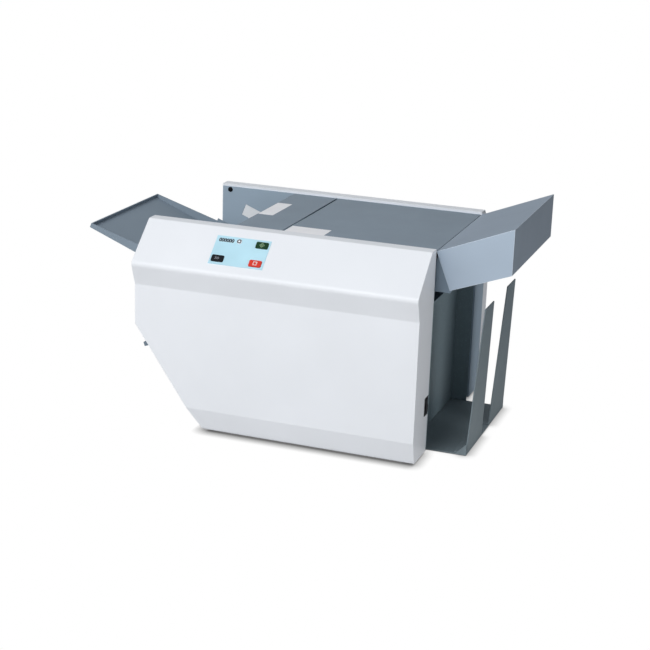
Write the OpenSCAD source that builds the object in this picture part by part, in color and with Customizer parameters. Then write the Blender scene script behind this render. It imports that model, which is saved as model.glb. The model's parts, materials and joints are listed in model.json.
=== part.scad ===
// Desktop pressure sealer: a folding and sealing machine for one-piece mailers.
// Local axes while drawing: x = 0 at the outfeed end of the covers, y = 0 on the middle plane,
// z = 0 on the table. placed() then centres the whole machine over the origin.

/* [Casing] */
// Clear width between the two covers
bay_w = 266; // [220:1:320]
// Length of the covers along the paper path
cover_l = 462; // [440:1:490]
// Height of the cover tops above the table
cover_h = 325.5; // [318:0.5:335]
// Height of the covers' lower edge above the table
cover_z0 = 4; // [3:0.5:6]
// Width of the flat strip along each cover's top
strip_w = 21; // [14:1:28]
// How far the ridge stands out from the cover's inner edge
ridge_out = 84.5; // [80:0.5:95]
// Height of the ridge
ridge_z = 267.5; // [262:0.5:272]
// How far the flat lower face stands out
face_out = 71; // [66:0.5:76]
// Height of the crease under the ridge
crease_z = 231; // [222:1:240]
// Height of the line where the lower face turns in
skirt_z = 40; // [30:1:60]
// How far the covers' lower edge stands out
skirt_out = 61; // [56:0.5:66]
// Height where the infeed end starts to slant
slant_z = 166.5; // [150:0.5:180]
// Length of the slanted cut along the machine
slant_l = 113.5; // [90:0.5:125]
// Sheet thickness of covers, hood and trays
sheet = 1.5; // [1:0.1:2]
// Bend radius on the ridge
ridge_r = 9; // [4:0.5:12]
// Bend radius elsewhere
bend_r = 4; // [2.5:0.5:6]

/* [Frame] */
// Thickness of the two side frames
frame_t = 3; // [2:0.5:4]
// Height of the side frames' top edge
frame_h = 321.5; // [318:0.5:324]
// Height of the rubber feet
foot_h = 6; // [5:0.5:10]
// Radius of the rubber feet
foot_r = 10; // [8:0.5:14]
// Thickness of the base plate
base_t = 2; // [1.5:0.5:3]
// Radius of the tie bars between the frames
tie_r = 6; // [5:0.5:8]
// Height of the lower edge of the exit plate
exit_z = 259.5; // [256:0.5:263]
// Depth of the delivery bay behind the cover ends
bay_d = 30; // [26:1:33]
// Width left open inside the delivery bay
bay_open = 241; // [225:1:244]
// Width of the rear frame's end flange outside the frame
flange_out = 43; // [30:1:55]

/* [Top covers] */
// How far the top covers' upper face lies above the side frames
lid_rise = 0.5; // [0.5:0.5:3]
// Place of the seam between the two top covers, from the outfeed end
seam = 249.5; // [240:0.5:258]
// Length of the infeed cover
infeed_l = 76; // [65:1:84]
// Radius of the hinge pins
pin_r = 1.5; // [1:0.25:2]
// Distance of a hinge pin from its cover's edge
pin_in = 18; // [17:0.5:19]
// Depth of the turned-down sides of the top covers
lid_drop = 6; // [4:0.5:8]

/* [Hood] */
// Slope of the hood's roof
hood_a = 21.9; // [15:0.1:28]
// Length of the roof along its slope
hood_l = 125; // [100:1:140]
// Height of the hood's sides, square to the roof
hood_side = 62.5; // [50:0.5:66]
// Height of the hood's upright end
hood_end = 70; // [60:0.5:80]

/* [Feed tray] */
// Slope of the feed tray
deck_a = 21.5; // [18:0.5:24]
// Reach of the feed tray past the covers
tray_out = 122; // [90:1:130]
// Height of the tray's outer end
tray_z = 289; // [285:0.5:294]
// Width of the feed tray
tray_w = 243; // [225:1:252]
// Height of the tray's rim at its outer end
rim_h0 = 7.5; // [6:0.5:12]
// Slope of the rim's upper edge
rim_a = 17; // [14:0.5:19]
// Gap between an open side guide and the tray's rim
guide_gap = 8.5; // [4:0.5:12]
// Height of the side guides
guide_h = 26; // [18:1:32]
// How far each guide moves in
guide_travel = 35; // [20:1:45]

/* [Rollers] */
// Gear module
mod = 1.5; // [1.4:0.05:1.6]
// Teeth on the gear of each fold roller
fold_n = 20; // [19:1:21]
// Teeth on the gear of each sealing roller
seal_n = 32; // [31:1:33]
// Teeth on the gear of the exit roller
exit_n = 18; // [18:1:19]
// Teeth on the gear of the feed roller
feed_n = 24; // [23:1:25]
// Teeth on the motor pinion
pinion_n = 18; // [18:1:20]
// Teeth on the idler between fold and sealing rollers
main_idler_n = 42; // [42:1:46]
// Teeth on the idler of the feed roller
feed_idler_n = 44; // [43:1:46]
// Teeth on the idler of the exit roller
exit_idler_n = 48; // [48:1:52]
// Gap between the rubber or steel faces of a roller pair
nip = 0.4; // [0.3:0.05:0.6]
// Radius of the roller shafts
shaft_r = 5; // [4:0.25:6]
// Height of the first roller nip
nip_z = 214; // [210:0.5:218]
// Distance of the first roller nip from the outfeed end
nip_x = 262; // [258:0.5:266]
// Slope of the delivery path
path_a = 21.8; // [21:0.1:23]
// Distance of the sealing nip from the outfeed end
seal_x = 155; // [152:0.5:160]
// Distance of the exit nip from the outfeed end
exit_x = 57; // [55:0.5:60]
// Width of the gears
gear_w = 8; // [6:0.5:10]

/* [Fold plates] */
// Slope of the upper fold plate
fold1_a = 23; // [22:0.5:24]
// Length of the upper fold plate
fold1_l = 205; // [170:1:215]
// Length of the lower fold plate
fold2_l = 220; // [180:1:225]
// Thickness over both sheets of a fold plate
fold_t = 7; // [6:0.5:8]
// Slot between the sheets of a fold plate
fold_slot = 4; // [3:0.5:4.5]
// Travel of the fold stops each way
stop_travel = 30; // [15:1:40]

/* [Delivery tray] */
// Distance of the tray's outer edge from the covers
stack_x = 61; // [50:1:75]
// Height of the stop fingers
finger_h = 229; // [200:1:250]
// How far the finger tops lean out
finger_lean = 11; // [4:0.5:14]
// Width of a finger at its foot
finger_w0 = 95; // [80:1:105]
// Width of a finger at its top
finger_w1 = 52; // [40:1:60]
// Gap between the two fingers at the foot
finger_gap = 46; // [36:1:50]
// How far the delivery tray slides out
stack_travel = 50; // [30:1:55]

/* [Controls] */
// Length of the control panel
panel_l = 89; // [80:1:100]
// Height of the control panel on the slope
panel_w = 52; // [51:0.5:55]
// Distance of the panel's left end from the infeed end
panel_x = 123.5; // [100:0.5:150]
// Distance of the panel's upper edge from the top strip
panel_t = 16.5; // [12:0.5:20]
// Length of the push buttons
button_l = 19.8; // [16:0.2:21]
// Height of the push buttons
button_w = 11.4; // [9:0.2:12]
// Travel of the push buttons
button_travel = 1.2; // [0.8:0.1:1.5]
// Height of the middle of the power switch
switch_z = 80.5; // [70:0.5:95]

/* [Hidden] */
$fn = 48;
// clearances
seat = 0.05;
run = 0.05;
slip = 0.3;
wide = 0.5;
cut = 1;
far = 600;

// casing
half = bay_w / 2;
cover_x0 = -cover_l;
slant_x = cover_x0 + slant_l;
slope_a = atan2(cover_h - ridge_z, ridge_out - strip_w);
cover_flange = 16;
hem_lap = 5;
// frames
frame_in = half - frame_t;
frame_x0 = cover_x0 + sheet + wide;
frame_x1 = -3 - seat;
frame_z0 = foot_h;
inner = frame_in - seat;
base_z = foot_h + base_t;
end_t = 3;
foot_in = 40;
foot_x = 70;
foot_side = 25;
foot_y = inner - foot_side;
liner_h = 226;
liner_gap = 0.7;
chute_gap = 5;
// covers on top
lid_z = frame_h + lid_rise;
lid_w = inner - wide;
lid_t = 1.5;
lid_under = lid_z - lid_t;
seam_gap = 3.6;
hinge_z = lid_z - 5;
knuckle_r = pin_r + 2;
knuckle_w = 14;
knuckle_y = 100;
side_gap = 3;
side_end = 6;
main_x1 = -0.8;
main_x0 = -seam + seam_gap / 2;
infeed_x1 = -seam - seam_gap / 2;
infeed_x0 = infeed_x1 - infeed_l;
main_pin = [main_x1 - pin_in, hinge_z];
infeed_pin = [infeed_x1 - pin_in, hinge_z];
// hood
hood_gap = 1;
hood_drop = 0.1;
hood_x0 = main_x1 + hood_gap;
hood_z0 = lid_z - hood_drop;
hood_u = [cos(hood_a), sin(hood_a)];
hood_n = [-sin(hood_a), cos(hood_a)];
hood_p0 = [hood_x0, hood_z0];
hood_p1 = hood_p0 + hood_l * hood_u;
hood_p2 = hood_p1 - [0, hood_end];
hood_p3 = hood_p0 - hood_side * hood_n;
hood_pin = [11, lid_z - 4.5];
hood_w = half - slip;
lug_r = pin_r + 1.6;
lug_w = 16;
plate_lugs = [-90, 0, 90];
hood_lugs = [28, 62];
lug_root = [4, 20];
lug_arm = 11;
hood_pin_in = 20;
exit_lip = 14;
// the exit plate ends below the swing of the main cover and of the hood's edge
plate_top = lid_z - 13.5;
wing_lap = 3;
wing_tip = [5, lid_z - 4];
// tray
tray_x0 = cover_x0 - tray_out;
deck_u = [cos(deck_a), -sin(deck_a)];
deck_n = [sin(deck_a), cos(deck_a)];
deck_p0 = [tray_x0, tray_z];
// whole machine
mid_x = (tray_x0 + hood_p1[0]) / 2;

// rollers and gears, each place is [x, z]
function pitch_r(n) = mod * n / 2;
function roll_r(n) = pitch_r(n) - nip / 2;
path_u = [cos(path_a), sin(path_a)];
path_n = [-sin(path_a), cos(path_a)];
turn_u = [sin(19), -cos(19)];
fold_r = pitch_r(fold_n);
fold_1 = [-nip_x, nip_z + fold_r];
fold_2 = [-nip_x, nip_z - fold_r];
fold_3 = fold_2 + 2 * fold_r * turn_u;
fold_4 = fold_3 - 2 * fold_r * path_n;
path_p = fold_3 - fold_r * path_n;
function on_path(x) = [x, path_p[1] + (x - path_p[0]) * tan(path_a)];
seal_low = on_path(-seal_x) - pitch_r(seal_n) * path_n;
seal_up = on_path(-seal_x) + pitch_r(seal_n) * path_n;
exit_low = on_path(-exit_x) - pitch_r(exit_n) * path_n;
exit_up = on_path(-exit_x) + pitch_r(exit_n) * path_n;
feed_stand = 1;
feed_r = roll_r(feed_n);
feed_deep = feed_r - feed_stand - sheet;
feed_idler_dir = 203;
feed_idler_c = fold_2 + pitch_r(fold_n + feed_idler_n) * [cos(feed_idler_dir), sin(feed_idler_dir)];
// the feed roller lies under the deck where its gear meets the idler
feed_o = feed_idler_c - deck_p0 + feed_deep * deck_n;
feed_s = feed_o * deck_u - sqrt(pow(pitch_r(feed_n + feed_idler_n), 2) - pow(feed_o * deck_n, 2));
feed_c = deck_p0 + feed_s * deck_u - feed_deep * deck_n;
feed_gap = 2.9;
deck_l = feed_s - sqrt(pow(feed_r, 2) - pow(feed_deep, 2)) - feed_gap;
// the point at distance a from p and b from q, left or right of the line between them
function meet(p, a, q, b, side) = let (d = norm(q - p), u = (q - p) / d,
    k = (a * a - b * b + d * d) / (2 * d), h = sqrt(max(0, a * a - k * k)))
    p + k * u + side * h * [-u[1], u[0]];
function between(p, n1, q, n2, n, side) =
    meet(p, pitch_r(n1 + n), q, pitch_r(n2 + n), side);
main_idler_c = between(fold_4, fold_n, seal_low, seal_n, main_idler_n, -1);
exit_idler_c = between(seal_low, seal_n, exit_low, exit_n, exit_idler_n, 1);
pinion_dir = -80;
pinion_c = main_idler_c + pitch_r(main_idler_n + pinion_n) * [cos(pinion_dir), sin(pinion_dir)];
// tooth angle of a gear at q that meshes with a gear at p whose tooth angle is a1
function mesh_a(p, n1, a1, q, n2) = let (f = atan2(q[1] - p[1], q[0] - p[0]))
    f + 180 - 360 / n2 * (0.5 - n1 * (f - a1) / 360);
main_idler_a = 0;
pinion_a = mesh_a(main_idler_c, main_idler_n, main_idler_a, pinion_c, pinion_n);
fold_4a = mesh_a(main_idler_c, main_idler_n, main_idler_a, fold_4, fold_n);
fold_3a = mesh_a(fold_4, fold_n, fold_4a, fold_3, fold_n);
fold_2a = mesh_a(fold_3, fold_n, fold_3a, fold_2, fold_n);
fold_1a = mesh_a(fold_2, fold_n, fold_2a, fold_1, fold_n);
feed_idler_a = mesh_a(fold_2, fold_n, fold_2a, feed_idler_c, feed_idler_n);
feed_a = mesh_a(feed_idler_c, feed_idler_n, feed_idler_a, feed_c, feed_n);
seal_low_a = mesh_a(main_idler_c, main_idler_n, main_idler_a, seal_low, seal_n);
seal_up_a = mesh_a(seal_low, seal_n, seal_low_a, seal_up, seal_n);
exit_idler_a = mesh_a(seal_low, seal_n, seal_low_a, exit_idler_c, exit_idler_n);
exit_a = mesh_a(exit_idler_c, exit_idler_n, exit_idler_a, exit_low, exit_n);
ROLLERS = [fold_1, fold_2, fold_3, fold_4, seal_up, seal_low, exit_up, exit_low, feed_c];
IDLERS = [main_idler_c, feed_idler_c, exit_idler_c];
bush_r = shaft_r + 2.5;
bush_flange_r = shaft_r + 4;
bush_flange_t = 1.5;
roll_half = inner - bush_flange_t - 1;
gear_y = half + 4;
shaft_y = gear_y + gear_w + 2;
stud_r = shaft_r;
stud_collar = 3;
stud_cap = 2;
hub_wall = 3;
rim_wall = 2;
web_in = 2;
web_min = 2;
hole_n = 5;
hole_wall = 1.5;
// motor
motor_r = 36;
motor_l = 78;
motor_shaft_r = 4;
motor_boss_r = 11;
motor_flange = 4;
motor_cap = [26, 8];
motor_bore = 24;
pinion_in = 22;
// tie bars
tie_end = 75;
tie_s = deck_l - tie_end;
tie_up = 24;
tie_z = foot_h + tie_up;
tie_x = 75;
tie_in = 43.5;
low_ties = [-tie_x, slant_x + tie_in];
top_tie_in = [20, 31.5];
top_tie = [-top_tie_in[0], frame_h - top_tie_in[1]];
deck_tie = deck_p0 + tie_s * deck_u - (tie_r + seat) * deck_n;
TIES = [deck_tie, top_tie, for (x = low_ties) [x, tie_z]];
// fold plates: slope frames start at the mouth
fold1_gap = 6;
fold1_p = [-nip_x + fold_r + fold1_gap, nip_z];
fold2_dir = 199;
fold2_u = [cos(fold2_dir), sin(fold2_dir)];
fold2_gap = 4;
fold2_p = (fold_2 + fold_3) / 2 + (fold_r + fold2_gap) * fold2_u;
fold_side = 8;
bar_gap = 14;
bar_step = 32;
bar_end = 25;
stop_w = 40;
stop_bar = 6;
stem_w = 6;
stop1_s = 120;
stop2_s = 110;
knob_r = 7;
knob_h = 6;
// delivery tray
stack_w = bay_open - 4;
stack_t = 2;
stack_z = 0.3;
stack_top = stack_z + stack_t;
tongue_w = 100;
tongue_hold = 33.5;
tongue_x = -bay_d - sheet - stack_travel - tongue_hold;
runner_end = 10;
runner_z = 1;
rail_w = 8;
stack_rim = 17;
finger_foot = 20;
// controls
panel_lip = 0.8;
panel_deep = 5;
panel_in = 2;
display_l = 26;
display_w = 7;
reset_r = 4;
button_flush = 0.3;
button_proud = button_travel + button_flush;
collar = 1;
collar_t = 1;
board_t = 1.6;
board_gap = 4;
board_in = [6, 4];
post_r = 1.5;
display_proud = 0.3;
// places of the controls on the panel, from its left end and down from its upper edge
display_at = [16.9, 7.2];
reset_at = [38.3, 7.6];
start_at = [76.2, 9.5];
jog_at = [13.1, 41.8];
stop_at = [75.2, 43];
switch_w = 18;
switch_h = 30;
switch_l = 22;
rocker_w = 11;
rocker_h = 22;
rocker_half = 5;
rocker_bevel = 10;
rocker_foot = 0.55;
stub = 2.5;
well = 16;
switch_in = 0.5;
notch = 2;
inlet_at = [-70, 62];
inlet_l = 28;
inlet_h = 22;
inlet_deep = 22;
inlet_lip = 4;
inlet_face = 2;
inlet_wall = 2;
socket_deep = 16;
blade = [2, 4];
blade_tip = 4;
blade_step = 7;
// the three blades, from the socket's middle
BLADES = [[-blade_step, -2], [0, 2], [blade_step, -2]];

// colours
WHITE = [0.9, 0.92, 0.95];
GREY = [0.5, 0.55, 0.6];
DARK = [0.2, 0.23, 0.26];
BLACK = [0.08, 0.08, 0.09];
STEEL = [0.72, 0.73, 0.75];
RUBBER = [0.13, 0.13, 0.14];
BRASS = [0.75, 0.6, 0.3];

// shared shapes

module placed() { translate([-mid_x, 0, 0]) children(); }

// a profile drawn in x and z, drawn out along y
module along_y(y0, y1) { translate([0, y1, 0]) rotate([90, 0, 0]) linear_extrude(y1 - y0) children(); }

// a profile drawn in y and z, drawn out along x
module along_x(x0, x1) { translate([x0, 0, 0]) rotate([90, 0, 90]) linear_extrude(x1 - x0) children(); }

module box(lo, hi) { translate(lo) cube(hi - lo); }

// a rod along y at the place c
module rod(c, r, y0, y1) { translate([c[0], y1, c[1]]) rotate([90, 0, 0]) cylinder(r = r, h = y1 - y0); }

// front and rear copies of a shape drawn at the rear
module both_sides() {
    children();
    mirror([0, 1, 0]) children();
}

// frames that follow a slope: x along it, z square to it
module sloped(p, a) { translate([p[0], 0, p[1]]) rotate([0, -a, 0]) children(); }

// one corner b between a and c, rounded with radius r
function corner(a, b, c, r) = r <= 0 ? [b] : let (u = (a - b) / norm(a - b), v = (c - b) / norm(c - b),
    h = acos(u * v) / 2, o = b + (u + v) / norm(u + v) * r / sin(h), p = b + u * r / tan(h),
    a0 = atan2(p[1] - o[1], p[0] - o[0]), s = cross(-u, v) > 0 ? 1 : -1, n = 5)
    [for (i = [0:n]) o + r * [cos(a0 + s * (180 - 2 * h) * i / n), sin(a0 + s * (180 - 2 * h) * i / n)]];

function rounded(pts, radii) = let (n = len(pts))
    [for (i = [0:n - 1]) each corner(pts[(i + n - 1) % n], pts[i], pts[(i + 1) % n], radii[i])];

// the outline pts, anticlockwise, with each side moved in by its own distance
function moved_in(pts, by) = let (n = len(pts)) [for (i = [0:n - 1])
    let (a = pts[(i + n - 1) % n], b = pts[i], c = pts[(i + 1) % n],
        u = (b - a) / norm(b - a), v = (c - b) / norm(c - b),
        p = b + by[(i + n - 1) % n] * [-u[1], u[0]], q = b + by[i] * [-v[1], v[0]],
        k = cross(q - p, v) / cross(u, v))
    abs(cross(u, v)) < 0.001 ? p : p + k * u];

// involute gear outline with one tooth on the angle a
function involute(x) = tan(x) * 180 / PI - x;
function half_tooth(n, r) = let (rb = pitch_r(n) * cos(20), play = 0.12 / pitch_r(n) * 180 / PI / 2)
    90 / n - play + involute(20) - involute(acos(min(1, rb / max(r, rb))));
function gear_points(n, a) = let (rp = pitch_r(n), ro = rp + 0.9 * mod, ri = rp - 1.2 * mod,
        radii = [ri, rp * 0.98, ro], q = [for (r = radii) half_tooth(n, r)])
    [for (i = [0:n - 1], j = [0:5]) let (k = j < 3 ? j : 5 - j, s = j < 3 ? -1 : 1,
        t = a + 360 / n * i + s * q[k]) radii[k] * [cos(t), sin(t)]];

// a gear with its hub and rim; the web between them is thinner, and is pierced on the larger gears
module gear(c, n, a, bore) {
    hub = bore + hub_wall;
    rim = pitch_r(n) - 1.2 * mod - rim_wall;
    hole = (rim - hub) / 2 - hole_wall;
    translate([c[0], 0, c[1]]) difference() {
        along_y(gear_y, gear_y + gear_w) difference() {
            polygon(gear_points(n, a));
            circle(r = bore);
            if (hole > hub_wall) for (i = [1:hole_n]) rotate(a + 360 / hole_n * i)
                translate([(rim + hub) / 2, 0]) circle(r = hole);
        }
        if (rim - hub > web_min) along_y(gear_y + gear_w - web_in, gear_y + gear_w + cut) difference() {
            circle(r = rim);
            circle(r = hub);
        }
    }
}

// roller with its shaft, carried in both frames
module roller(c, n, y1) {
    rod(c, roll_r(n), -roll_half, roll_half);
    rod(c, shaft_r, -half - 2, y1);
}

// casing

function cover_profile() = [[0, cover_z0], [skirt_out, cover_z0], [face_out, skirt_z], [face_out, crease_z],
    [ridge_out, ridge_z], [strip_w, cover_h], [0, cover_h]];
cover_radii = [0, bend_r, ridge_r, ridge_r, ridge_r, bend_r, 0];
function cover_outline() = [[slant_x, cover_z0], [0, cover_z0], [0, far], [cover_x0, far], [cover_x0, slant_z]];

// the space inside the cover's outer faces, shrunk by k; drawn for the rear side
module cover_space(k) {
    open = k > 0 ? -cut : 0;
    intersection() {
        along_x(cover_x0 - cut, cut) translate([half, 0])
            polygon(rounded(moved_in(cover_profile(), [k, k, k, k, k, k, open]),
                [for (r = cover_radii) max(r - k, 0)]));
        along_y(half + open - cut, half + ridge_out + cut)
            polygon(moved_in(cover_outline(), [k, k, 0, k, k]));
    }
}

module cover_shell() {
    difference() {
        cover_space(0);
        cover_space(sheet);
        box([slant_x + cover_flange, half - cut, 0],
            [-cover_flange, half + skirt_out - cover_flange, cover_z0 + sheet + cut]);
    }
    // the hem that hangs from the top strip beside the frame
    intersection() {
        cover_space(0);
        box([cover_x0, half, frame_h - hem_lap], [0, half + sheet, cover_h]);
    }
}

// the sloped front face: x along the machine, y up the slope, z out of the sheet
module on_slope() {
    translate([cover_x0, -half - strip_w, cover_h]) rotate([slope_a, 0, 0]) children();
}

module front_cover() {
    placed() color(WHITE) difference() {
        mirror([0, 1, 0]) cover_shell();
        on_slope() translate([panel_x, -panel_t - panel_w, -far / 10])
            translate([panel_in, panel_in, 0])
            cube([panel_l - 2 * panel_in, panel_w - 2 * panel_in, far / 5]);
        box([-sheet - cut, -half - switch_w - notch, switch_z - switch_h / 2 - slip],
            [cut, -half + cut, switch_z + switch_h / 2 + slip]);
    }
}

vent_n = 9;
vent_step = 12;
vent_w = 4;
vent_h = 46;
vent_x = -240;
vent_z = 90;

module rear_cover() {
    placed() color(WHITE) difference() {
        cover_shell();
        // the frame's end flange shows beside a narrow lip
        box([-end_t - cut, half - cut, 0], [cut, half + flange_out + seat, exit_z + seat]);
        for (i = [0:vent_n - 1])
            box([vent_x + i * vent_step, half + face_out - 2 * sheet, vent_z],
                [vent_x + i * vent_step + vent_w, half + face_out + cut, vent_z + vent_h]);
        box([inlet_at[0] - inlet_l / 2 - slip, half + face_out - 2 * sheet, inlet_at[1] - inlet_h / 2 - slip],
            [inlet_at[0] + inlet_l / 2 + slip, half + face_out + cut, inlet_at[1] + inlet_h / 2 + slip]);
    }
}

// frames

function frame_outline() = moved_in([[slant_x, frame_z0], [frame_x1, frame_z0], [frame_x1, frame_h],
    [frame_x0, frame_h], [frame_x0, slant_z]], [0, 0, 0, 0, sheet + wide]);

window_end = 84;
window_s = deck_l - window_end;
window_n = 45;
window_l = 46;
window_h = 20.5;

module window() {
    sloped(deck_p0 + window_s * deck_u + window_n * deck_n, -deck_a)
        box([0, -far, 0], [window_l, far, window_h]);
}

module frame_plate(pass_r) {
    difference() {
        along_y(frame_in, half) polygon(frame_outline());
        for (c = ROLLERS) rod(c, bush_r + seat, frame_in - cut, half + cut);
        rod(pinion_c, pass_r, frame_in - cut, half + cut);
        for (c = [main_pin, infeed_pin]) rod(c, pin_r + seat, frame_in - cut, half + cut);
        window();
    }
}

module front_frame() { placed() color(GREY) mirror([0, 1, 0]) frame_plate(motor_boss_r); }

module rear_frame() {
    placed() color(GREY) {
        frame_plate(motor_boss_r);
        box([frame_x1, bay_open / 2, base_z], [0, half + flange_out, exit_z - seat]);
    }
}

module base_plate() {
    y = tongue_w / 2;
    placed() color(GREY) {
        box([slant_x + runner_end, -inner, foot_h], [-bay_d - sheet, inner, base_z]);
        // runners for the delivery tray's tongue
        both_sides() along_x(tongue_x - runner_end, -bay_d - sheet)
            polygon([[y + slip, runner_z], [y + rail_w, runner_z], [y + rail_w, foot_h], [y - rail_w, foot_h],
                [y - rail_w, stack_top + slip], [y + slip, stack_top + slip]]);
    }
}

module rubber_feet() {
    placed() color(RUBBER) for (x = [slant_x + foot_in, -foot_x], y = [-foot_y, foot_y])
        translate([x, y, 0]) cylinder(r1 = foot_r - 1, r2 = foot_r, h = foot_h - seat);
}

module tie_bars() { placed() color(STEEL) for (c = TIES) rod(c, tie_r, -inner, inner); }

module exit_plate() {
    lip_w = bay_open / 2 - sheet;
    arm = hood_pin - [0, plate_top];
    arm_n = [-arm[1], arm[0]] / norm(arm);
    placed() color(GREY) difference() {
        union() {
            box([-sheet, -inner, exit_z], [0, inner, plate_top]);
            // turned-in lower lip that guides the form out
            sloped([0, exit_z], path_a) box([-exit_lip, -lip_w, 0], [-slip, lip_w, sheet]);
            // arms that carry the hood's pin
            for (y = plate_lugs) {
                rod(hood_pin, lug_r, y - lug_w / 2, y + lug_w / 2);
                along_y(y - lug_w / 2, y + lug_w / 2) polygon([[-sheet, plate_top - lug_arm],
                    [0, plate_top - lug_arm], hood_pin - lug_r * arm_n, hood_pin + lug_r * arm_n,
                    [0, plate_top], [-sheet, plate_top]]);
            }
            // turned-out wings inside the hood's sides
            both_sides() along_y(inner - sheet, inner) polygon([[-sheet, exit_z], [hood_p3[0], exit_z],
                hood_p3 + [wing_lap, 0], [hood_pin[0] + lug_r, wing_tip[1]], wing_tip, [0, plate_top],
                [-sheet, plate_top]]);
        }
        rod(hood_pin, pin_r + seat, -far, far);
    }
}

module bay_liner() {
    y1 = bay_open / 2 - seat;
    y2 = tongue_w / 2 + slip;
    placed() color(DARK) {
        // back wall, with a slot for the delivery tray's tongue
        difference() {
            box([-bay_d - sheet, -y1, stack_z], [-bay_d, y1, liner_h]);
            box([-bay_d - 2 * sheet, -y2, 0], [-bay_d + cut, y2, stack_top + liner_gap]);
        }
        both_sides() {
            box([-bay_d, y1 - sheet, stack_z], [frame_x1 - seat, y1, liner_h]);
            box([frame_x1 - seat - sheet, y1, base_z], [frame_x1 - seat, inner, exit_z - seat]);
        }
        // chute under the exit slot
        sloped([-bay_d, liner_h], path_a)
            box([-sheet / 2, -y1, 0], [(bay_d - chute_gap) / cos(path_a), y1, sheet]);
    }
}

// feeding

module on_deck() { sloped(deck_p0, -deck_a) children(); }

guide_l = 110;
guide_end = 5;
guide_s = deck_l - guide_l - guide_end;
guide_t = 1.5;
guide_y = tray_w / 2 - sheet - guide_gap - guide_t;
guide_foot = 22;
guide_key = 10;
// the key under a guide: how far in its sides and its foot lie from the guide's face
key_out = 4;
key_in = 14;
key_side = 2;
ear_l = 32;
ear_end = 13;
ear_h = 18;

module feed_tray() {
    rim_h1 = rim_h0 + deck_l * tan(deck_a - rim_a) / 2;
    ear_x = deck_l - ear_end;
    placed() color(GREY) difference() {
        union() {
            on_deck() {
                box([0, -tray_w / 2, 0], [deck_l, tray_w / 2, sheet]);
                box([0, -tray_w / 2, 0], [sheet, tray_w / 2, rim_h0]);
                both_sides() {
                    along_y(tray_w / 2 - sheet, tray_w / 2) polygon([[0, 0], [deck_l, 0], [deck_l, rim_h1],
                        [deck_l / 2, rim_h1], [0, rim_h0]]);
                    // ears that carry the tray on the frames
                    box([ear_x - ear_l, tray_w / 2, 0], [ear_x, inner, sheet]);
                    box([ear_x - ear_l, inner - sheet, 0], [ear_x, inner, ear_h]);
                }
            }
        }
        // slots for the keys of the side guides
        on_deck() both_sides()
            box([guide_s + guide_l / 2 - guide_key / 2, guide_y - guide_travel - key_in, -cut],
                [guide_s + guide_l / 2 + guide_key / 2, guide_y - key_out, sheet + cut]);
    }
}

module side_guide() {
    key_w = guide_key - 2 * slip;
    s = guide_s + guide_l / 2;
    on_deck() {
        box([guide_s, guide_y, sheet + slip], [guide_s + guide_l, guide_y + guide_t, guide_h]);
        box([guide_s, guide_y - guide_foot, sheet + slip],
            [guide_s + guide_l, guide_y, sheet + slip + guide_t]);
        box([s - key_w / 2, guide_y - key_in + key_side, -slip],
            [s + key_w / 2, guide_y - key_out - key_side, sheet + slip]);
        box([s - key_w, guide_y - key_in, -slip - guide_t], [s + key_w, guide_y - key_out, -slip]);
    }
}

module front_guide() { placed() color(GREY) mirror([0, 1, 0]) side_guide(); }

module rear_guide() { placed() color(GREY) side_guide(); }

sep_h = 12;
sep_gap = 0.4;
sep_w = 14;
sep_bar_h = 8;
sep_pad_in = 1;
sep_pad_l = 44;
module on_feed() { sloped(feed_c, -deck_a) children(); }

module separator_bar() {
    placed() color(STEEL) on_feed()
        box([-sep_w / 2, -inner, feed_r + sep_gap + sep_h],
            [sep_w / 2, inner, feed_r + sep_gap + sep_h + sep_bar_h]);
}

module separator_pad() {
    placed() color(RUBBER) on_feed()
        box([sep_pad_in - sep_w / 2, -sep_pad_l / 2, feed_r + sep_gap],
            [sep_w / 2 - sep_pad_in, sep_pad_l / 2, feed_r + sep_gap + sep_h - seat]);
}

guide_gap_in = 6;
guide_gap_out = 4;
guide_low = 5;
guide_turn = [-4, -4];

module transfer_guide() {
    p0 = feed_c + [feed_r + guide_gap_in, feed_r - guide_gap_in];
    p1 = [-nip_x - fold_r - guide_gap_out, nip_z - guide_low];
    d = [0, -sheet];
    placed() color(STEEL) along_y(-inner, inner)
        polygon([p0 + guide_turn, p0, p1, p1 + d, p0 + d, p0 + guide_turn + d]);
}

// folding

module fold_plate(l, stop_s) {
    difference() {
        box([0, -inner, -fold_t / 2], [l, inner, fold_t / 2]);
        box([-cut, -inner + fold_side, -fold_slot / 2], [l - sheet, inner - fold_side, fold_slot / 2]);
        // long openings that leave bars and keep the plate light
        for (i = [-3:3]) if (i != 0) translate([0, i * bar_step, 0])
            box([bar_end, -bar_gap / 2, -fold_t], [l - bar_end, bar_gap / 2, fold_t]);
        box([stop_s - stop_travel - stem_w, -stem_w / 2 - slip, 0],
            [stop_s + stop_travel + stem_w, stem_w / 2 + slip, fold_t]);
    }
}

module fold_stop(stop_s) {
    box([stop_s - stop_bar / 2, -stop_w, -fold_slot / 2 + slip],
        [stop_s + stop_bar / 2, stop_w, fold_slot / 2 - slip]);
    box([stop_s - stem_w / 2, -stem_w / 2, 0], [stop_s + stem_w / 2, stem_w / 2, fold_t / 2 + slip]);
    translate([stop_s, 0, fold_t / 2 + slip]) cylinder(r = knob_r, h = knob_h);
}

module on_upper_fold() { sloped(fold1_p, fold1_a) children(); }
module on_lower_fold() {
    translate([fold2_p[0], 0, fold2_p[1]]) rotate([0, 180 - fold2_dir, 0]) mirror([1, 0, 0]) mirror([0, 0, 1])
        children();
}

module upper_fold_plate() { placed() color(STEEL) on_upper_fold() fold_plate(fold1_l, stop1_s); }
module lower_fold_plate() { placed() color(STEEL) on_lower_fold() fold_plate(fold2_l, stop2_s); }
module upper_stop() { placed() color(BLACK) on_upper_fold() fold_stop(stop1_s); }
module lower_stop() { placed() color(BLACK) on_lower_fold() fold_stop(stop2_s); }

// controls on the slope

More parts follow.
